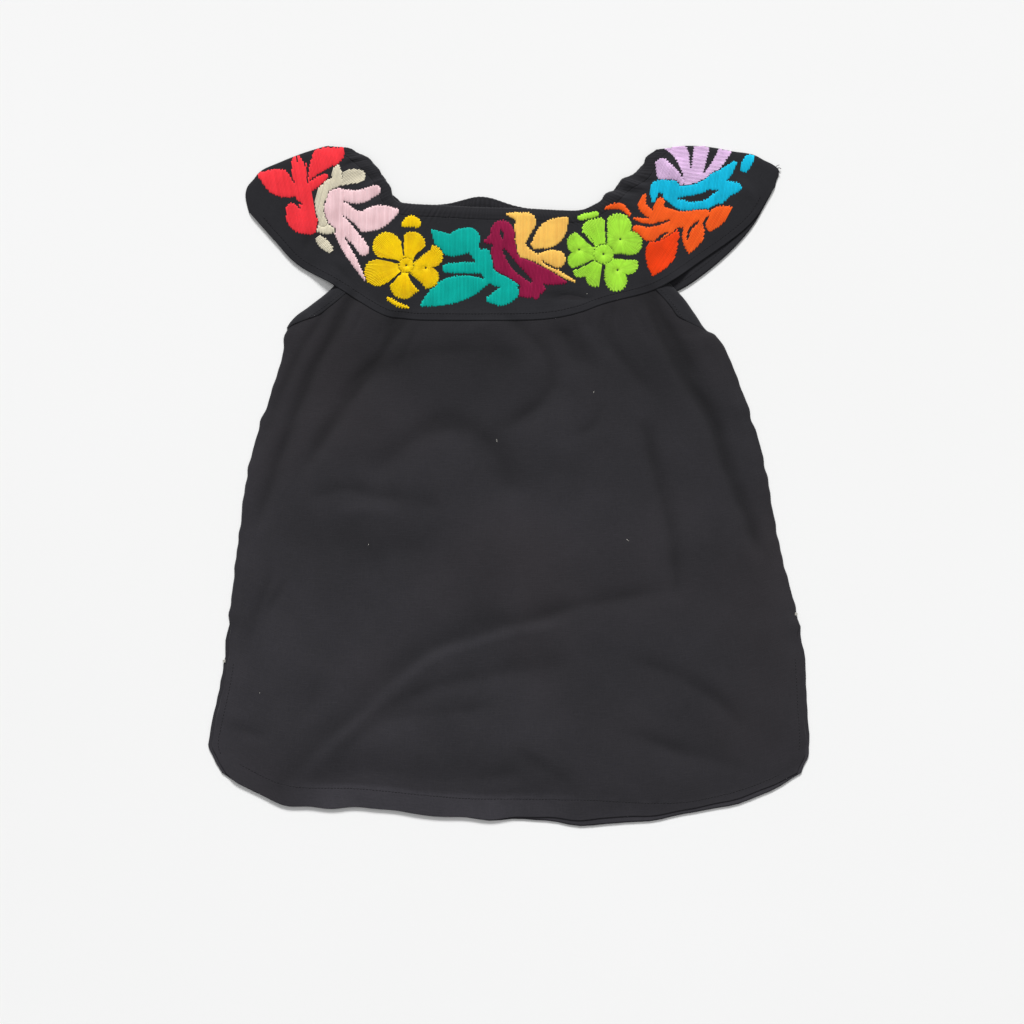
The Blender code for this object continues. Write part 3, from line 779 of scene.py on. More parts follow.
def over_body(x, y):
    """1 over the body panels, falling to 0 outside their armholes."""
    left = through(LEFT_EDGE, np.linspace(0, 0.3, 20))
    right = through(RIGHT_EDGE, np.linspace(0, 0.3, 20))
    outside_left = np.interp(-y, -left[:, 1], left[:, 0]) - x
    outside_right = x - np.interp(-y, -right[:, 1], right[:, 0])
    return 1 - smooth((np.maximum(outside_left, outside_right) - WING_FROM) / WING_OVER)


def rolled(height, distance, reach, low):
    """Rounds a cloth down to a fold or seam that lies this low."""
    share = np.clip(distance / reach, 0, 1)
    return low + (height - low) * np.sqrt(1 - (1 - share) ** 2)


def pressed(height, distance, reach, low):
    """Slopes a cloth's edge down to this low."""
    share = np.clip(distance / reach, 0, 1)
    return low + (height - low) * (1 - (1 - share) ** 2)


def hem_step(distance, turning):
    """Extra height of a hem that is turned under, up to its stitching."""
    return HEM_STEP * (1 - smooth((distance - turning + 1.5) / 3))


def hem_turning(across):
    """Depth of the front's turned hem, wide on the left and narrow on the right."""
    return WIDE_HEM - (WIDE_HEM - NARROW_HEM) * smooth((across - 0.62) / 0.2)


def from_edge(x, y, edge, across):
    """Distance to the point of an edge at the same share across."""
    hem = through(edge, across)
    return np.hypot(x - hem[:, 0], y - hem[:, 1])


def wavy_edge(x, y, across, down):
    """Moves a body panel's sides and hem in and out a little, as washed cloth does."""
    at_side = np.abs(2 * across - 1) ** 12
    at_hem = down**16
    x = x + SIDE_WAVES * at_side * unevenness(y, y * 0, 13, 50, 12)
    y = y + HEM_WAVES * at_hem * unevenness(x, x * 0, 14, 54, 12)
    return x, y


def deselect():
    bpy.ops.object.select_all(action="DESELECT")


def cloth(name, columns, rows, place, flat, wall, spread_u=EVEN, spread_v=EVEN, painted_shading=None):
    """A shell of cloth over a grid whose points place(u, v) sets.

    u and v run from 0 to 1 across and down the piece, crowded as spread_u and
    spread_v say. place gives x, y and the height of the inner side, and the
    last function the share by which the colour is painted lighter or darker, as
    painted light and shade. The UV map is the cut cloth, in metres.
    """
    deselect()
    bpy.ops.mesh.primitive_grid_add(x_subdivisions=columns, y_subdivisions=rows, size=2)
    piece = bpy.context.active_object
    piece.name = piece.data.name = name
    mesh = piece.data
    points = np.empty(len(mesh.vertices) * 3)
    mesh.vertices.foreach_get("co", points)
    points = points.reshape(-1, 3)
    u = np.interp((points[:, 0] + 1) / 2, *spread_u)
    v = np.interp((1 - points[:, 1]) / 2, *spread_v)
    x, y, z = place(u, v)
    mesh.vertices.foreach_set("co", (np.stack([x, y, z], axis=1) * MM).ravel())
    corner = np.empty(len(mesh.loops), int)
    mesh.loops.foreach_get("vertex_index", corner)
    cut = np.stack([u[corner] * flat[0], (1 - v[corner]) * flat[1]], axis=1)
    mesh.uv_layers[0].data.foreach_set("uv", cut.ravel())
    # The painted light and shade goes on each point as an attribute that the material reads.
    if painted_shading:
        tone = mesh.attributes.new("painted_shading", "FLOAT", "POINT")
        tone.data.foreach_set("value", painted_shading(u, v))
    mesh.update()
    bpy.ops.object.modifier_add(type="SOLIDIFY")
    solidify = piece.modifiers[-1]
    solidify.thickness = wall * MM
    solidify.offset = 1
    bpy.ops.object.modifier_apply(modifier=solidify.name)
    bpy.ops.object.shade_smooth()
    return piece


def body_front():
    """The front panel, rolled down to the side seams above the slits."""

    def place(u, v):
        x, y = body_point(u, v, False)
        from_seam = body_seam_distance(u, v, False)
        from_hem = y - through(FRONT_HEM, u)[:, 1]
        z = body_front_height(x, y, from_seam, from_hem)
        turned = hem_step(from_hem, hem_turning(u) + 2 * unevenness(x, y, 11, 160, 60))
        open_slit = smooth((SLIT_TOP - y) / 12)
        turned = np.maximum(turned, open_slit * hem_step(from_seam, SLIT_HEM))
        puckers = unevenness(x, y * 0.15, 12, 26, 9) * (turned / HEM_STEP)
        right_of_middle = np.exp(-(((x - 130) / 70) ** 2))
        z += FRONT_STEP_SHARE * turned
        z += puckers * (HEM_PUCKERS + RIGHT_PUCKERS * right_of_middle)
        z += hem_form(x, y, from_seam, from_hem)
        closed = rolled(z, from_seam, SEAM_ROLL, 0.2)
        opened = rolled(z, from_seam, LIP_ROLL, LAYER)
        z = (1 - open_slit) * closed + open_slit * opened
        on_left = 1 - smooth((x + 20) / 80)
        slope = HEM_SLOPE + LEFT_HEM_SLOPE * on_left
        z = pressed(z, from_hem, slope, np.minimum(z, HEM_HEIGHT + LEFT_HEM_HEIGHT * on_left))
        x, y = wavy_edge(x, y, u, v)
        return x, y, z

    # Painted light and shade on the front: lighter on ridges and the hem band, darker in creases and
    # under the flounce.
    def painted_shading(u, v):
        x, y = body_point(u, v, False)
        return painted_light_and_shade(x, y, y - through(FRONT_HEM, u)[:, 1])

    return cloth("body_front_cloth", 190, 230, place, FRONT_CUT, WALL, FRONT_COLUMNS, PANEL_ROWS,
                 painted_shading)


def body_back():
    """The back panel, which shows past the slits and the hem."""

    def place(u, v):
        x, y = body_point(u, v, True)
        closed = smooth((y - SLIT_TOP + 6) / 12)
        x -= 1.6 * closed * (2 * u - 1) ** 5
        from_seam = body_seam_distance(u, v, True)
        z = body_back_height(x, y)
        turned = hem_step(y - through(BACK_HEM, u)[:, 1], WIDE_HEM)
        turned = np.maximum(turned, (1 - closed) * hem_step(from_seam, SLIT_HEM))
        x, y = wavy_edge(x, y, u, v)
        return x, y, z + BACK_STEP_SHARE * turned

    # Painted light on the back's hem strip, which lies in the shadow of the front's edge.
    def painted_shading(u, v):
        return 0.4 * smooth((v - 0.93) / 0.05)

    return cloth("body_back_cloth", 70, 90, place, BACK_CUT, WALL, BACK_COLUMNS, PANEL_ROWS, painted_shading)


def armhole_band(name, right):
    """A narrow band along the front armhole, rolled over its edge."""

    def place(u, v):
        down = BAND_FROM + v * (BAND_TO - BAND_FROM)
        edge_x, _ = body_point(np.full_like(u, float(right)), down, False)
        other_x, _ = body_point(np.full_like(u, float(not right)), down, False)
        outward = 1 - u if right else u
        inset = BAND_WIDTH * outward * (1 - 0.94 * smooth((v - 0.72) / 0.28))
        share = inset / np.abs(edge_x - other_x)
        across = 1 - share if right else share
        x, y = body_point(across, down, False)
        from_seam = body_seam_distance(across, down, False)
        z = body_front_height(x, y, from_seam) + WALL - BAND_SINK
        z += BAND_SINK * smooth((u if right else 1 - u) * 6)
        z += 0.12 * unevenness(x, y, 21, 18, 7)
        past_seam = BAND_PAST_SEAM if right else -BAND_PAST_SEAM
        x += past_seam * (1 - smooth(inset / SEAM_ROLL))
        return x, y, rolled(z, inset, SEAM_ROLL, 0.1)

    columns = RIGHT_BAND_COLUMNS if right else LEFT_BAND_COLUMNS
    return cloth(name, 16, 56, place, BAND_CUT, BAND_WALL, columns)


def stiffened(x, y):
    """1 where the embroidery stiffens the cloth, falling to 0 a little way off."""
    total = np.zeros(np.shape(x))
    for motif in MOTIFS:
        for patch in motif.patches:
            for leaf in patch.leaves:
                near = smooth(1 + depth_inside(x, y, leaf) / STIFFENED_ROUND)
                total = np.maximum(total, near)
    return total


def flounce_gathers(across, x, y, down):
    """Gathers that run out of the casing, long at the shoulders and faint between."""
    draw = np.random.default_rng(31)
    knots = np.cumsum(draw.uniform(0.5, 1.5, GATHERS))
    knots /= knots[-1]
    phase = np.interp(across, knots, np.arange(GATHERS))
    shoulder = smooth((np.abs(x - NECK_MIDDLE) - 84) / 40)
    strength = 1 + 0.5 * unevenness(x, y, 33, 70, 30)
    reach = 0.12 + 0.16 * shoulder + 0.05 * unevenness(x, x * 0, 34, 60, 20)
    fading = np.exp(-((down / np.maximum(reach, 0.05)) ** 2))
    fine = FINE_GATHERS * (1 - 0.4 * shoulder) * np.sin(2 * np.pi * phase)
    broad = BROAD_GATHERS * shoulder * np.sin(2 * np.pi * phase / BROAD_PERIOD + 1.1)
    return strength * fading * (fine + broad)


def front_flounce_height(x, y, across, down):
    """The front flounce: low at the arms, over all layers at the body."""
    from_fold = smooth(np.minimum(across, 1 - across) / FOLD_SHARE)
    at_arms = LAYER + from_fold * (ARM_LIFT + ARM_PUFF * (1 - down) ** 1.5)
    at_body = body_front_height(x, y) + WALL + BODY_CLEARANCE
    at_body += BODY_LIFT * smooth(down * 2.2) * (1 - smooth((down - 0.5) / 0.4))
    share = over_body(x, y)
    waves = fold_height(x, y, FLOUNCE_FOLDS) * from_fold
    waves += 0.22 * unevenness(x, y, 35, 80, 30) * from_fold
    return (1 - share) * at_arms + share * at_body + waves


def flounce_front():
    """The embroidered front flounce, folded over the shoulders."""

    def place(u, v):
        x, y = flounce_point(u, v, False)
        z = front_flounce_height(x, y, u, v)
        z += flounce_gathers(u, x, y, v) * (1 - stiffened(x, y))
        from_hem = from_edge(x, y, FRONT_FLOUNCE_HEM, u)
        lip = 0.5 * hem_step(from_hem, FLOUNCE_HEM)
        z += lip + 0.1 * unevenness(x, y, 36, 20, 8) * (lip / HEM_STEP)
        left = through(LEFT_FOLD, np.linspace(0, 1, 40))
        right = through(RIGHT_FOLD, np.linspace(0, 1, 40))
        to_left = distance_to(x, y, left)[0]
        to_right = distance_to(x, y, right)[0]
        on_body = body_front_height(x, y) + WALL - FLOUNCE_SINK
        low = LAYER * (1 - over_body(x, y)) + on_body * over_body(x, y)
        z = pressed(z, from_hem, FLOUNCE_SLOPE, np.minimum(low, z))
        return x, y, rolled(z, np.minimum(to_left, to_right), FOLD_ROLL, 0.2)

    def painted_shading(u, v):
        # Painted shade in the hollows of the gathers and folds, painted light on their tops, and a
        # painted highlight along the hem's rim.
        x, y = flounce_point(u, v, False)
        on_rim = smooth(1 - from_edge(x, y, FRONT_FLOUNCE_HEM, u) / 5)
        gathers = flounce_gathers(u, x, y, v) * (1 - stiffened(x, y))
        folds = fold_height(x, y, FLOUNCE_FOLDS)
        return np.clip(0.12 * gathers + 0.12 * folds + 0.14 * on_rim, -0.3, 0.3)

    return cloth("flounce_front_cloth", 300, 62, place, FLOUNCE_CUT, WALL, FLOUNCE_COLUMNS,
                 FRONT_FLOUNCE_ROWS, painted_shading)


def flounce_back():
    """The back flounce, whose inner side shows past the front at the right."""

    def place(u, v):
        x, y = flounce_point(u, v, True)
        z = BACK_STEP_SHARE * hem_step(from_edge(x, y, BACK_FLOUNCE_HEM, u), FLOUNCE_HEM)
        inset = 1.8 * (2 * u - 1) ** 9 * (1 - smooth((v - 0.8) / 0.15))
        return x - inset, y, z + LOWEST_SHELL

    return cloth("flounce_back_cloth", 120, 24, place, FLOUNCE_CUT, WALL, FLOUNCE_COLUMNS,
                 BACK_FLOUNCE_ROWS)


def neck_casing(name, back, ribs, seed):
    """Elastic casing along the neckline, drawn up into uneven ribs.

    Its edge is scalloped over the shoulders, and its front goes straight on
    into the flounce.
    """
    draw = np.random.default_rng(seed)
    knots = np.cumsum(draw.uniform(0.55, 1.45, ribs + 1))
    knots = (knots - knots[0]) / (knots[-1] - knots[0])
    heights = draw.uniform(0.55, 1.25, ribs + 1)

    def rib_at(u):
        phase = np.interp(u, knots, np.arange(ribs + 1))
        height = np.interp(phase, np.arange(ribs + 1), heights)
        return height * (0.5 + 0.5 * np.cos(2 * np.pi * phase))

    def place(u, v):
        edge = neckline(u, back)
        x, y = flounce_point(u, np.zeros_like(u), back)
        rib = rib_at(u)
        shoulder = smooth((np.abs(edge[:, 0] - NECK_MIDDLE) - 88) / 25)
        lobe = unevenness(u * CASING_LENGTH, u * 0, seed + 2, 27, 18, 5) * shoulder
        ruffle = (0.25 * (rib - 0.5) + SCALLOPS * lobe) * (1 - smooth(v / 0.6))
        outward = edge - np.stack([x, y], axis=1)
        outward /= np.linalg.norm(outward, axis=1, keepdims=True)
        low = joined = LOWEST_SHELL
        if not back:
            low = 2 * LAYER
            gathers = flounce_gathers(u, x, y, 0 * u) * (1 - stiffened(x, y))
            joined = front_flounce_height(x, y, u, 0 * u) + gathers
        x = (1 - v) * edge[:, 0] + v * x + ruffle * outward[:, 0]
        y = (1 - v) * edge[:, 1] + v * y + ruffle * outward[:, 1]
        crown = np.sin(np.pi * v) ** 0.6
        rows = sum(np.exp(-(((v - row) / CASING_ROW_WIDTH) ** 2)) for row in CASING_ROWS)
        z = low + (joined - low) * np.sin(np.pi / 2 * v) ** 0.7
        rise = RIB_RISE * (BACK_RIBS_HIGHER if back else 1)
        z += crown * (CASING_CROWN + rise * rib * (1 - 0.5 * rows) + 0.3 * lobe)
        return x, y, np.maximum(z - 0.15 * rows * crown, LOWEST_SHELL)

    # Painted shade between the ribs and painted light on their tops, stronger on the back.
    def painted_shading(u, v):
        return (0.5 if back else 0.2) * (rib_at(u) - 0.45)

    return cloth(name, 6 * ribs, 14, place, CASING_CUT, CASING_WALL, painted_shading=painted_shading)


def surface_of(*pieces):
    """A tree for finding the height of these pieces under a point."""
    points, faces = [], []
    for piece in pieces:
        first = len(points)
        points += [corner.co for corner in piece.data.vertices]
        faces += [[first + i for i in face.vertices] for face in piece.data.polygons]
    return BVHTree.FromPolygons(points, faces)


def height_on(tree, x, y):
    """Height of the surface at x, y, or None past its edge and on its sides."""
    above = Vector((x * MM, y * MM, RAY_FROM * MM))
    found, normal, _, _ = tree.ray_cast(above, Vector((0, 0, -1)))
    if found is None or normal.z < STEEPEST:
        return None
    return found.z / MM


def thread_points(path, tree, half, rise, padding):
    """Rings of points along one thread that lies on a surface, and their stations.

    path is its x and y points, and both its ends dip into the cloth. A path
    that is too short or leaves the surface gives None.
    """
    if len(path) < 4:
        return None
    length = lengths_along(path)
    total = length[-1]
    before_end = total - THREAD_END
    inner = np.arange(THREAD_END, before_end, max(2.6, total / 14))
    stations = np.concatenate([[0], inner, [before_end] if total > 2.4 else [], [total]])
    stations = np.unique(np.round(stations, 3))
    x, y = (np.interp(stations, length, path[:, k]) for k in (0, 1))
    z = [height_on(tree, *place) for place in zip(x, y)]
    if None in z:
        return None
    z = np.array(z)
    side = sideways(np.stack([x, y], axis=1))
    ends = smooth(np.minimum(stations, total - stations) / THREAD_END)
    top = (rise + padding * np.sin(np.pi * stations / total)) * (0.15 + 0.85 * ends)
    if np.ndim(half):
        half = np.interp(stations / total, [0, 1], half)
    rings = []
    for out, up in LYING_THREAD:
        level = z - THREAD_SUNK if up is None else z + top * up
        ring = [x + side[:, 0] * half * out, y + side[:, 1] * half * out, level]
        rings.append(np.stack(ring, axis=1))
    return np.stack(rings, axis=1), stations


def threads_mesh(name, threads, shades):
    """One mesh of many threads, with a shade for each and UVs along it."""
    points, faces, shade, uv = [], [], [], []
    first = 0
    for (rings, stations), tone in zip(threads, shades):
        count = len(rings)
        last = first + (count - 1) * RING
        points.append(rings.reshape(-1, 3))
        shade += [tone] * (count * RING)
        for a in range(first, last, RING):
            for k in range(RING):
                after = (k + 1) % RING
                faces.append((a + k, a + RING + k, a + RING + after, a + after))
        faces.append(tuple(first + k for k in range(RING)))
        faces.append(tuple(last + k for k in reversed(range(RING))))
        around = np.tile(np.arange(float(RING)), count)
        uv.append(np.stack([np.repeat(stations, RING), around], axis=1))
        first += count * RING
    mesh = bpy.data.meshes.new(name)
    mesh.from_pydata((np.vstack(points) * MM).tolist(), [], faces)
    mesh.attributes.new("shade", "FLOAT", "POINT").data.foreach_set("value", shade)
    layer = mesh.uv_layers.new(name="along_thread")
    corner = np.empty(len(mesh.loops), int)
    mesh.loops.foreach_get("vertex_index", corner)
    layer.data.foreach_set("uv", (np.vstack(uv)[corner] * MM).ravel())
    piece = bpy.data.objects.new(name, mesh)
    bpy.context.scene.collection.objects.link(piece)
    deselect()
    piece.select_set(True)
    bpy.context.view_layer.objects.active = piece
    bpy.ops.object.mode_set(mode="EDIT")
    bpy.ops.mesh.select_all(action="SELECT")
    bpy.ops.mesh.normals_make_consistent(inside=False)
    bpy.ops.object.mode_set(mode="OBJECT")
    bpy.ops.object.shade_smooth()
    return piece


def depth_inside(x, y, leaf):
    """How far inside a leaf a point is, negative outside it."""
    line = through(np.array(leaf[:6]).reshape(3, 2), np.linspace(0, 1, 9))
    far, along, _ = distance_to(x, y, line)
    half = leaf.start * (1 - along) * (1 - 2 * along)
    half += leaf.middle * 4 * along * (1 - along)
    half += leaf.end * along * (2 * along - 1)
    return half - far


def runs_of(inside, at):
    """Start and end of each stretch of a sampled line that is inside."""
    edges = np.flatnonzero(np.diff(np.concatenate([[0], inside.astype(int), [0]])))
    return [(at[a], at[b - 1]) for a, b in zip(edges[::2], edges[1::2])]


def patch_lines(patch):
    """The lines that a patch's threads follow, and from where to where.

    Each line has a start and a heading. A fan's lines leave its point, spaced
    by FAN_PITCH half way out.
    """
    outline = np.array([leaf[:6] for leaf in patch.leaves]).reshape(-1, 2)
    spare = max(max(leaf.start, leaf.middle, leaf.end) for leaf in patch.leaves) + 2
    if np.ndim(patch.threads):
        focus = np.array(patch.threads, float)
        reach = np.linalg.norm(outline - focus, axis=1).max() + spare
        count = 2 * int(np.pi * reach / FAN_PITCH)
        turns = np.arange(count) * 2 * np.pi / count
        headings = np.stack([np.cos(turns), np.sin(turns)], axis=1)
        return [(focus, heading) for heading in headings], FAN_START, reach
    turn = math.radians(patch.threads)
    heading = np.array([math.cos(turn), math.sin(turn)])
    across = np.array([-heading[1], heading[0]])
    middle = outline.mean(axis=0)
    reach = np.linalg.norm(outline - middle, axis=1).max() + spare
    offsets = np.arange(-reach, reach, THREAD_PITCH)
    return [(middle + across * offset, heading) for offset in offsets], -reach, reach


def embroidery(motif, tree, seed, neighbours):
    """Satin stitch over a motif's patches, as one mesh of threads.

    It keeps a narrow gap from the leaves of its neighbours.
    """
    draw = np.random.default_rng(seed)
    threads, shades = [], []
    claimed = []
    for patch in motif.patches:
        lines, low, high = patch_lines(patch)
        at = np.arange(low, high, 0.5)
        starts = np.array([start for start, _ in lines])
        headings = np.array([heading for _, heading in lines])
        x = starts[:, :1] + headings[:, :1] * at
        y = starts[:, 1:] + headings[:, 1:] * at
        inside = np.max([depth_inside(x, y, leaf) for leaf in patch.leaves], axis=0) > 0
        for slit in list(motif.slits) + claimed:
            inside &= depth_inside(x, y, slit) < 0
        for leaf in neighbours:
            inside &= depth_inside(x, y, leaf) < -MOTIF_GAP
        claimed += patch.leaves
        fan = np.ndim(patch.threads) > 0
        for i, row in enumerate(inside):
            tooth = 0.7 if i % 2 else 0.0
            for start, end in runs_of(row, at):
                start += draw.uniform(-0.4, 0.4) - (0 if fan else tooth)
                end += draw.uniform(-0.4, 0.4) + tooth
                if end - start < SHORTEST_THREAD:
                    continue
                path = starts[i] + np.outer(np.linspace(start, end, 12), headings[i])
                half = THREAD_HALF * THREAD_PITCH
                if fan:
                    spacing = np.array([start, end]) * 2 * np.pi / len(lines)
                    half = np.clip(spacing * FAN_HALF, *FAN_HALF_LIMITS)
                lie = (tree, half, THREAD_RISE, THREAD_PADDING)
                made = thread_points(path, *lie) or thread_points(on_surface(path, tree), *lie)
                if made:
                    threads.append(made)
                    shades.append(draw.uniform(-1, 1))
    return threads_mesh(motif.name, threads, shades)


def on_surface(path, tree):
    """The points of a path that lie on the surface."""
    return path[[height_on(tree, x, y) is not None for x, y in path]]


def stitch_row(line, tree, stitch, draw):
    """Sewing stitches along a line of points, each a little out of place."""
    length = lengths_along(line)
    made = []
    for start in np.arange(0.5, length[-1] - stitch.length, stitch.pitch):
        at = np.linspace(start, start + stitch.length, 4)
        path = np.stack([np.interp(at, length, line[:, k]) for k in (0, 1)], axis=1)
        path += draw.uniform(-0.12, 0.12, 2)
        made.append(thread_points(path, tree, stitch.half, STITCH_RISE, STITCH_PADDING))
    return [thread for thread in made if thread]


def node(tree, kind, settings=None, **links):
    """Adds a node. Settings are its own values, and links its inputs.

    An input goes by its name, or by its number after an i.
    """
    made = tree.nodes.new(kind)
    for name, value in (settings or {}).items():
        setattr(made, name, value)
    for name, value in links.items():
        place = int(name[1:]) if name[1:].isdigit() else name.replace("_", " ")
        socket = made.inputs[place]
        if isinstance(value, bpy.types.NodeSocket):
            tree.links.new(value, socket)
        else:
            socket.default_value = value
    return made


def new_finish(name, **values):
    """A material whose Principled surface has these values, its tree and its surface."""
    material = bpy.data.materials.new(name)
    material.use_nodes = True
    surface = material.node_tree.nodes["Principled BSDF"]
    for value_name, value in values.items():
        surface.inputs[value_name.replace("_", " ")].default_value = value
    return material, material.node_tree, surface


def plain_weave_cotton(name, dark, light, warm, bump, slub):
    """Black plain-weave cotton, washed: matt, with a faint grain of uneven yarns.

    The real weave is about 0.5 mm, too fine to show, so the yarns are drawn
    1.1 mm wide and 14 mm long, along and across the cut cloth. The tone drifts
    over 110 mm, is specked every 2 mm and turns to warm where the dye has gone
    brown, over 200 mm. The cloth crinkles every 6 mm.
    """
    material, tree, surface = new_finish(name, Roughness=0.9, IOR=1.5, Specular_IOR_Level=0.25,
                                         Sheen_Weight=0.12, Sheen_Roughness=0.5)
    uv = node(tree, "ShaderNodeUVMap").outputs["UV"]
    where = node(tree, "ShaderNodeTexCoord").outputs["Object"]
    yarns = []
    across, along = YARNS_TO_A_METRE, SLUBS_TO_A_METRE
    for scale in ((across, along, 1), (along, across, 1)):
        stretched = node(tree, "ShaderNodeMapping", i0=uv, Scale=scale).outputs[0]
        yarns.append(node(tree, "ShaderNodeTexNoise", Vector=stretched, Scale=1.0, Detail=2.0))
    grain = node(tree, "ShaderNodeMath", {"operation": "MAXIMUM"},
                 i0=yarns[0].outputs[0], i1=yarns[1].outputs[0]).outputs[0]
    patches = node(tree, "ShaderNodeTexNoise", Vector=where, Scale=9.0, Detail=4.0, Roughness=0.6)
    specks = node(tree, "ShaderNodeTexNoise", Vector=where, Scale=520.0, Detail=2.0)
    tone = node(tree, "ShaderNodeMath", {"operation": "MULTIPLY_ADD"},
                i0=grain, i1=slub, i2=patches.outputs[0]).outputs[0]
    tone = node(tree, "ShaderNodeMath", {"operation": "MULTIPLY_ADD"},
                i0=specks.outputs[0], i1=0.35, i2=tone).outputs[0]
    spread = node(tree, "ShaderNodeMapRange", i0=tone, i1=0.75, i2=1.6).outputs[0]
    cloth_colour = node(tree, "ShaderNodeMix", {"data_type": "RGBA"},
                        i0=spread, i6=linear(dark), i7=linear(light)).outputs[2]
    warmth = node(tree, "ShaderNodeTexNoise", Vector=where, Scale=5.0, Detail=1.0)
    share = node(tree, "ShaderNodeMapRange",
                 i0=warmth.outputs[0], i1=0.5, i2=0.8, i4=0.25).outputs[0]
    tinted = node(tree, "ShaderNodeMix", {"data_type": "RGBA"},
                  i0=share, i6=cloth_colour, i7=linear(warm)).outputs[2]
    # Painted light and shade: the base colour is scaled by one plus each piece's painted shading
    # attribute, lighter on ridges, hems and rib tops, darker in creases, gathers and under the flounce.
    painted_shading_share = node(tree, "ShaderNodeAttribute", {"attribute_name": "painted_shading"}).outputs["Fac"]
    shading_scale = node(tree, "ShaderNodeMath", {"operation": "ADD"}, i0=painted_shading_share, i1=1.0).outputs[0]
    shaded_colour = node(tree, "ShaderNodeVectorMath", {"operation": "SCALE"}, i0=tinted, Scale=shading_scale)
    tree.links.new(shaded_colour.outputs[0], surface.inputs["Base Color"])
    crinkle = node(tree, "ShaderNodeTexNoise", Vector=where, Scale=160.0, Detail=3.0, Roughness=0.55)
    height = node(tree, "ShaderNodeMath", {"operation": "MULTIPLY_ADD"},
                  i0=crinkle.outputs[0], i1=0.9, i2=grain).outputs[0]
    relief = node(tree, "ShaderNodeBump", Height=height, Strength=bump, Distance=0.0006)
    tree.links.new(relief.outputs[0], surface.inputs["Normal"])
    return material


def satin_thread(name, colour):
    """Mercerised cotton thread in satin stitch: a soft sheen, each thread its own tone.

    Its strands are drawn 0.4 mm wide and 4.5 mm long, and the tone drifts over 17 mm.
    """
    material, tree, surface = new_finish(name, Roughness=0.6, Specular_IOR_Level=0.12,
                                         Sheen_Weight=0.03, Sheen_Roughness=0.4)
    shade = node(tree, "ShaderNodeAttribute", {"attribute_name": "shade"}).outputs["Fac"]
    where = node(tree, "ShaderNodeTexCoord").outputs["Object"]
    uv = node(tree, "ShaderNodeUVMap").outputs["UV"]
    patches = node(tree, "ShaderNodeTexNoise", Vector=where, Scale=60.0, Detail=2.0)
    tone = node(tree, "ShaderNodeMath", {"operation": "MULTIPLY_ADD"},
                i0=shade, i1=0.16, i2=patches.outputs[0]).outputs[0]
    spread = node(tree, "ShaderNodeMapRange", i0=tone, i1=0.2, i2=0.8).outputs[0]
    full = linear(colour)
    deep = tuple(part * 0.84 for part in full[:3]) + (1,)
    bright = tuple(min(1, part * 1.14) for part in full[:3]) + (1,)
    mixed = node(tree, "ShaderNodeMix", {"data_type": "RGBA"}, i0=spread, i6=deep, i7=bright)
    tree.links.new(mixed.outputs[2], surface.inputs["Base Color"])
    strand = (STRAND_ENDS_TO_A_METRE, STRANDS_TO_A_METRE, 1)
    stretched = node(tree, "ShaderNodeMapping", i0=uv, Scale=strand).outputs[0]
    strands = node(tree, "ShaderNodeTexNoise", Vector=stretched, Scale=1.0, Detail=1.0)
    relief = node(tree, "ShaderNodeBump", Height=strands.outputs[0], Strength=0.4, Distance=0.0002)
    tree.links.new(relief.outputs[0], surface.inputs["Normal"])
    return material


def pale_floor():
    """A matt pale laminate top: nearly white, with a barely uneven tone."""
    material, tree, surface = new_finish("pale_matt_top", Roughness=0.85)
    where = node(tree, "ShaderNodeTexCoord").outputs["Object"]
    patches = node(tree, "ShaderNodeTexNoise", Vector=where, Scale=1.4, Detail=3.0)
    mixed = node(tree, "ShaderNodeMix", {"data_type": "RGBA"},
                 i0=patches.outputs[0], i6=linear("F5F5F4"), i7=linear("F9F9F9"))
    tree.links.new(mixed.outputs[2], surface.inputs["Base Color"])
    return material


def wear(piece, finish, solid=None):
    """Gives a piece its finish and its body, and hides the solid that it covers."""
    piece.data.materials.clear()
    piece.data.materials.append(finish)
    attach(piece, "root")
    if solid:
        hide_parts(solid)


def loose_thread(points, height, half):
    """Rings of points round a loose thread at this height, and their stations."""
    path = through(points, np.linspace(0, 1, 9))
    side = sideways(path)
    rings = []
    for turn in np.arange(RING) * 2 * np.pi / RING:
        level = np.full((9, 1), height + half * math.sin(turn))
        rings.append(np.hstack([path + side * half * math.cos(turn), level]))
    return np.stack(rings, axis=1), np.arange(9.0)


def frayed_tip():
    """Cut thread ends that stick out of the right shoulder's tip."""
    ends = [
        [(265, 318), (268, 320), (270, 321)],
        [(267, 317), (270, 318), (272, 317)],
        [(268, 315), (270, 314), (271, 312)],
    ]
    return [loose_thread(end, 1.2 + 0.3 * i, 0.28) for i, end in enumerate(ends)]


def white_threads(front, flounce):
    """Bar tacks at the tops of the slits, and a few fibres of lint."""
    draw = np.random.default_rng(52)
    on_front = surface_of(front, flounce)
    made = []
    for x, y in BAR_TACKS:
        for step in (0, 0.9, 1.8):
            line = [(x - 1.3, y + step), (x, y + step + 0.2), (x + 1.3, y + step)]
            made.append(loose_thread(line, 1.9, 0.45))
    for place in LINT:
        bends = np.cumsum(draw.uniform(-1.5, 1.5, (4, 2)), axis=0) + place
        fibre = thread_points(through(bends, np.linspace(0, 1, 8)), on_front, 0.2, 0.3, 0)
        if fibre:
            made.append(fibre)
    return threads_mesh("tacks_and_lint", made, draw.uniform(-1, 1, len(made)))


def beside_side(side, top, bottom, inset):
    """A line inside the front's left side (0) or right one (1), between two shares down."""
    down = np.linspace(top, bottom, 60)
    x, y = body_point(np.full_like(down, side), down, False)
    return np.stack([x + (1 - 2 * side) * inset, y], axis=1)


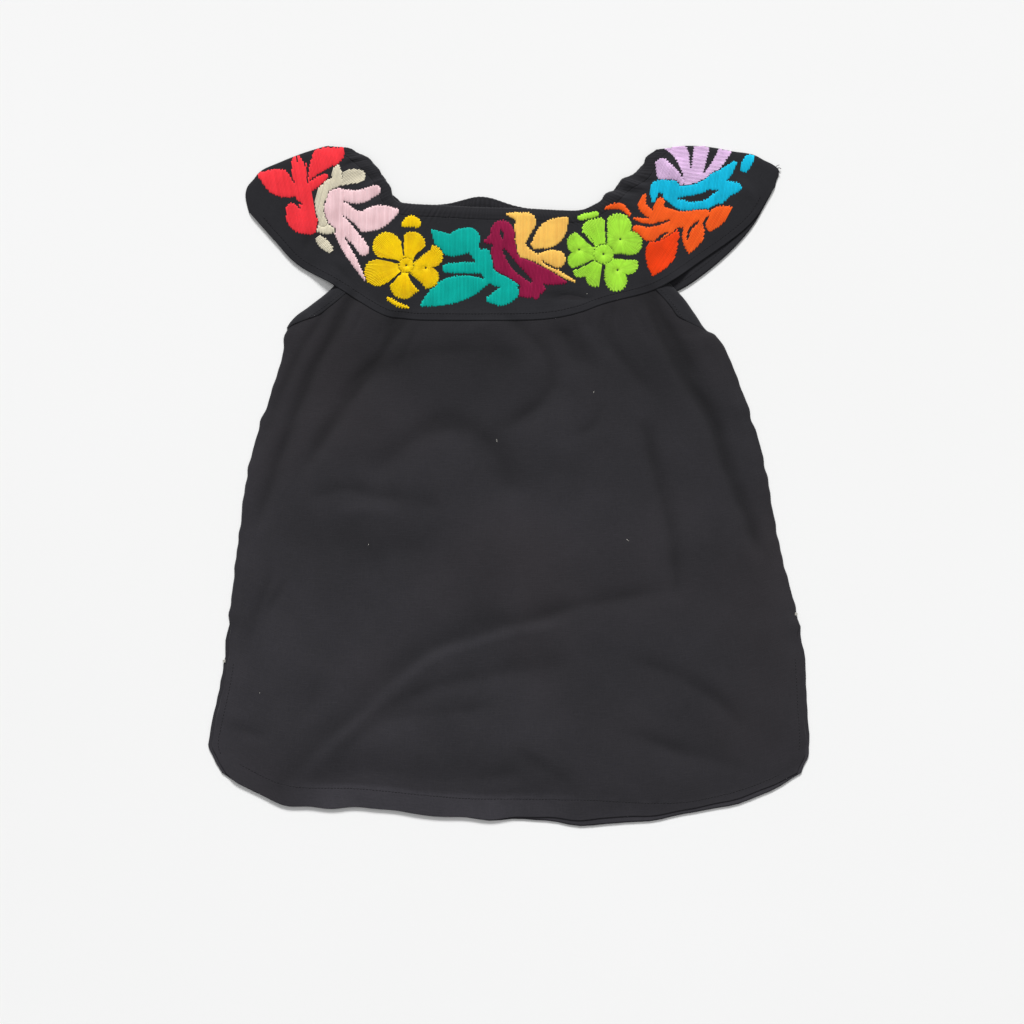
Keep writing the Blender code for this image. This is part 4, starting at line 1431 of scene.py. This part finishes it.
def body_sewing(front, bands, draw):
    """The rows of stitches that hold the front's hem, its slits and its bands."""
    on_front = surface_of(front)
    u = np.linspace(0.03, 0.97, 200)
    x, y = body_point(u, np.ones_like(u), False)
    hem = np.stack([x, y + hem_turning(u) - HEM_STITCH_FROM_EDGE], axis=1)
    rows = stitch_row(hem, on_front, HEM_STITCH, draw)
    for side in (0.0, 1.0):
        slit = beside_side(side, SLIT_FROM, SLIT_TO, SLIT_HEM - STITCH_FROM_EDGE)
        rows += stitch_row(slit, on_front, HEM_STITCH, draw)
    for side, band in zip((0.0, 1.0), bands):
        inset = BAND_WIDTH - BAND_STITCH_FROM_EDGE
        line = beside_side(side, BAND_FROM + 0.03, BAND_TO - 0.004, inset)
        rows += stitch_row(line, surface_of(band), BAND_STITCH, draw)
    return threads_mesh("body_stitches", rows, draw.uniform(-1, 1, len(rows)))


def flounce_sewing(over, under, draw):
    """The rows of stitches that hold the flounce's hems, and the frayed tip."""
    rows = []
    for piece, hem, shares in (
        (over, FRONT_FLOUNCE_HEM, np.linspace(0.02, 0.98, 260)),
        (under, BACK_FLOUNCE_HEM, np.linspace(0.7, 0.97, 90)),
    ):
        edge = through(hem, shares)
        line = edge + (FLOUNCE_HEM - STITCH_FROM_EDGE) * sideways(edge)
        rows += stitch_row(line, surface_of(piece), HEM_STITCH, draw)
    rows += frayed_tip()
    return threads_mesh("flounce_stitches", rows, draw.uniform(-1, 1, len(rows)))


def camera():
    """Straight above, at the photograph's framing."""
    deselect()
    bpy.ops.object.camera_add(location=(*CAMERA_OVER, CAMERA_HEIGHT), rotation=(0, 0, 0))
    eye = bpy.context.active_object
    eye.name = "camera"
    eye.data.sensor_width = CAMERA_SENSOR
    eye.data.lens = CAMERA_SENSOR * CAMERA_HEIGHT / FLOOR_IN_VIEW
    eye.data.clip_end = 20
    bpy.context.scene.camera = eye


def key_light():
    """A distant soft key from the neck side, turned a little to the left."""
    deselect()
    bpy.ops.object.light_add(type="SUN", location=(0, 0, 3))
    key = bpy.context.active_object
    key.name = "key"
    key.data.angle = math.radians(KEY_SOFTNESS)
    key.data.energy = KEY_STRENGTH
    key.rotation_euler = (math.radians(KEY_ELEVATION - 90), 0, math.radians(KEY_TURN))


def top_light():
    """A soft square lamp above the neck side, which faces the blouse."""
    deselect()
    bpy.ops.object.light_add(type="AREA", location=TOP_LIGHT_AT)
    top = bpy.context.active_object
    top.name = "top"
    top.data.shape = "SQUARE"
    top.data.size = TOP_LIGHT_SIZE
    top.data.energy = TOP_LIGHT_WATTS
    top.rotation_euler = Vector(TOP_LIGHT_AT).to_track_quat("Z", "Y").to_euler()


def studio():
    """A pale floor under the lights and an even sky."""
    deselect()
    bpy.ops.mesh.primitive_plane_add(size=FLOOR_SIZE, location=(0, 0, FLOOR_AT))
    floor = bpy.context.active_object
    floor.name = "floor"
    floor.data.materials.append(pale_floor())
    key_light()
    top_light()
    world = bpy.data.worlds.new("studio_sky")
    bpy.context.scene.world = world
    world.use_nodes = True
    sky = world.node_tree.nodes["Background"]
    sky.inputs["Color"].default_value = linear("FBFCFD")
    sky.inputs["Strength"].default_value = SKY_STRENGTH
    bpy.context.scene.view_settings.view_transform = "Standard"


def main():
    body_cotton = plain_weave_cotton("washed_black_cotton", "242327", "343237", "352D2F", 0.35, 0.6)
    flounce_cotton = plain_weave_cotton("black_flounce_cotton", "1C1C20", "2A2A2E", "272427", 0.35, 0.6)
    gathered = plain_weave_cotton("gathered_black_cotton", "1B1B1F", "29282C", "262427", 0.3, 0.5)
    sewing_thread = satin_thread("black_sewing_thread", "1A191C")
    worn_thread = satin_thread("washed_sewing_thread", "2B2A2D")

    front = body_front()
    back = body_back()
    left_band = armhole_band("armhole_band_left_cloth", False)
    right_band = armhole_band("armhole_band_right_cloth", True)
    over = flounce_front()
    under = flounce_back()
    neck_back = neck_casing("neck_casing_back_cloth", True, BACK_RIBS, 61)
    neck_front = neck_casing("neck_casing_front_cloth", False, FRONT_RIBS, 62)
    wear(front, body_cotton, "body_front")
    wear(back, body_cotton, "body_back")
    wear(left_band, flounce_cotton, "armhole_band_left")
    wear(right_band, flounce_cotton, "armhole_band_right")
    wear(over, flounce_cotton, "flounce_front")
    wear(under, flounce_cotton, "flounce_back")
    wear(neck_back, gathered, "neck_casing_back")
    wear(neck_front, gathered, "neck_casing_front")

    on_flounce = surface_of(over, neck_front)
    leaves_so_far = []
    for number, motif in enumerate(MOTIFS):
        piece = embroidery(motif, on_flounce, 100 + number, leaves_so_far)
        leaves_so_far += [leaf for patch in motif.patches for leaf in patch.leaves]
        wear(piece, satin_thread(motif.name + "_thread", motif.colour))
    draw = np.random.default_rng(51)
    body_stitches = body_sewing(front, [left_band, right_band], draw)
    flounce_stitches = flounce_sewing(over, under, draw)
    white = white_threads(front, over)
    wear(white, satin_thread("white_sewing_thread", "BDBAB2"))
    wear(body_stitches, worn_thread)
    wear(flounce_stitches, sewing_thread)

    camera()
    studio()


main()
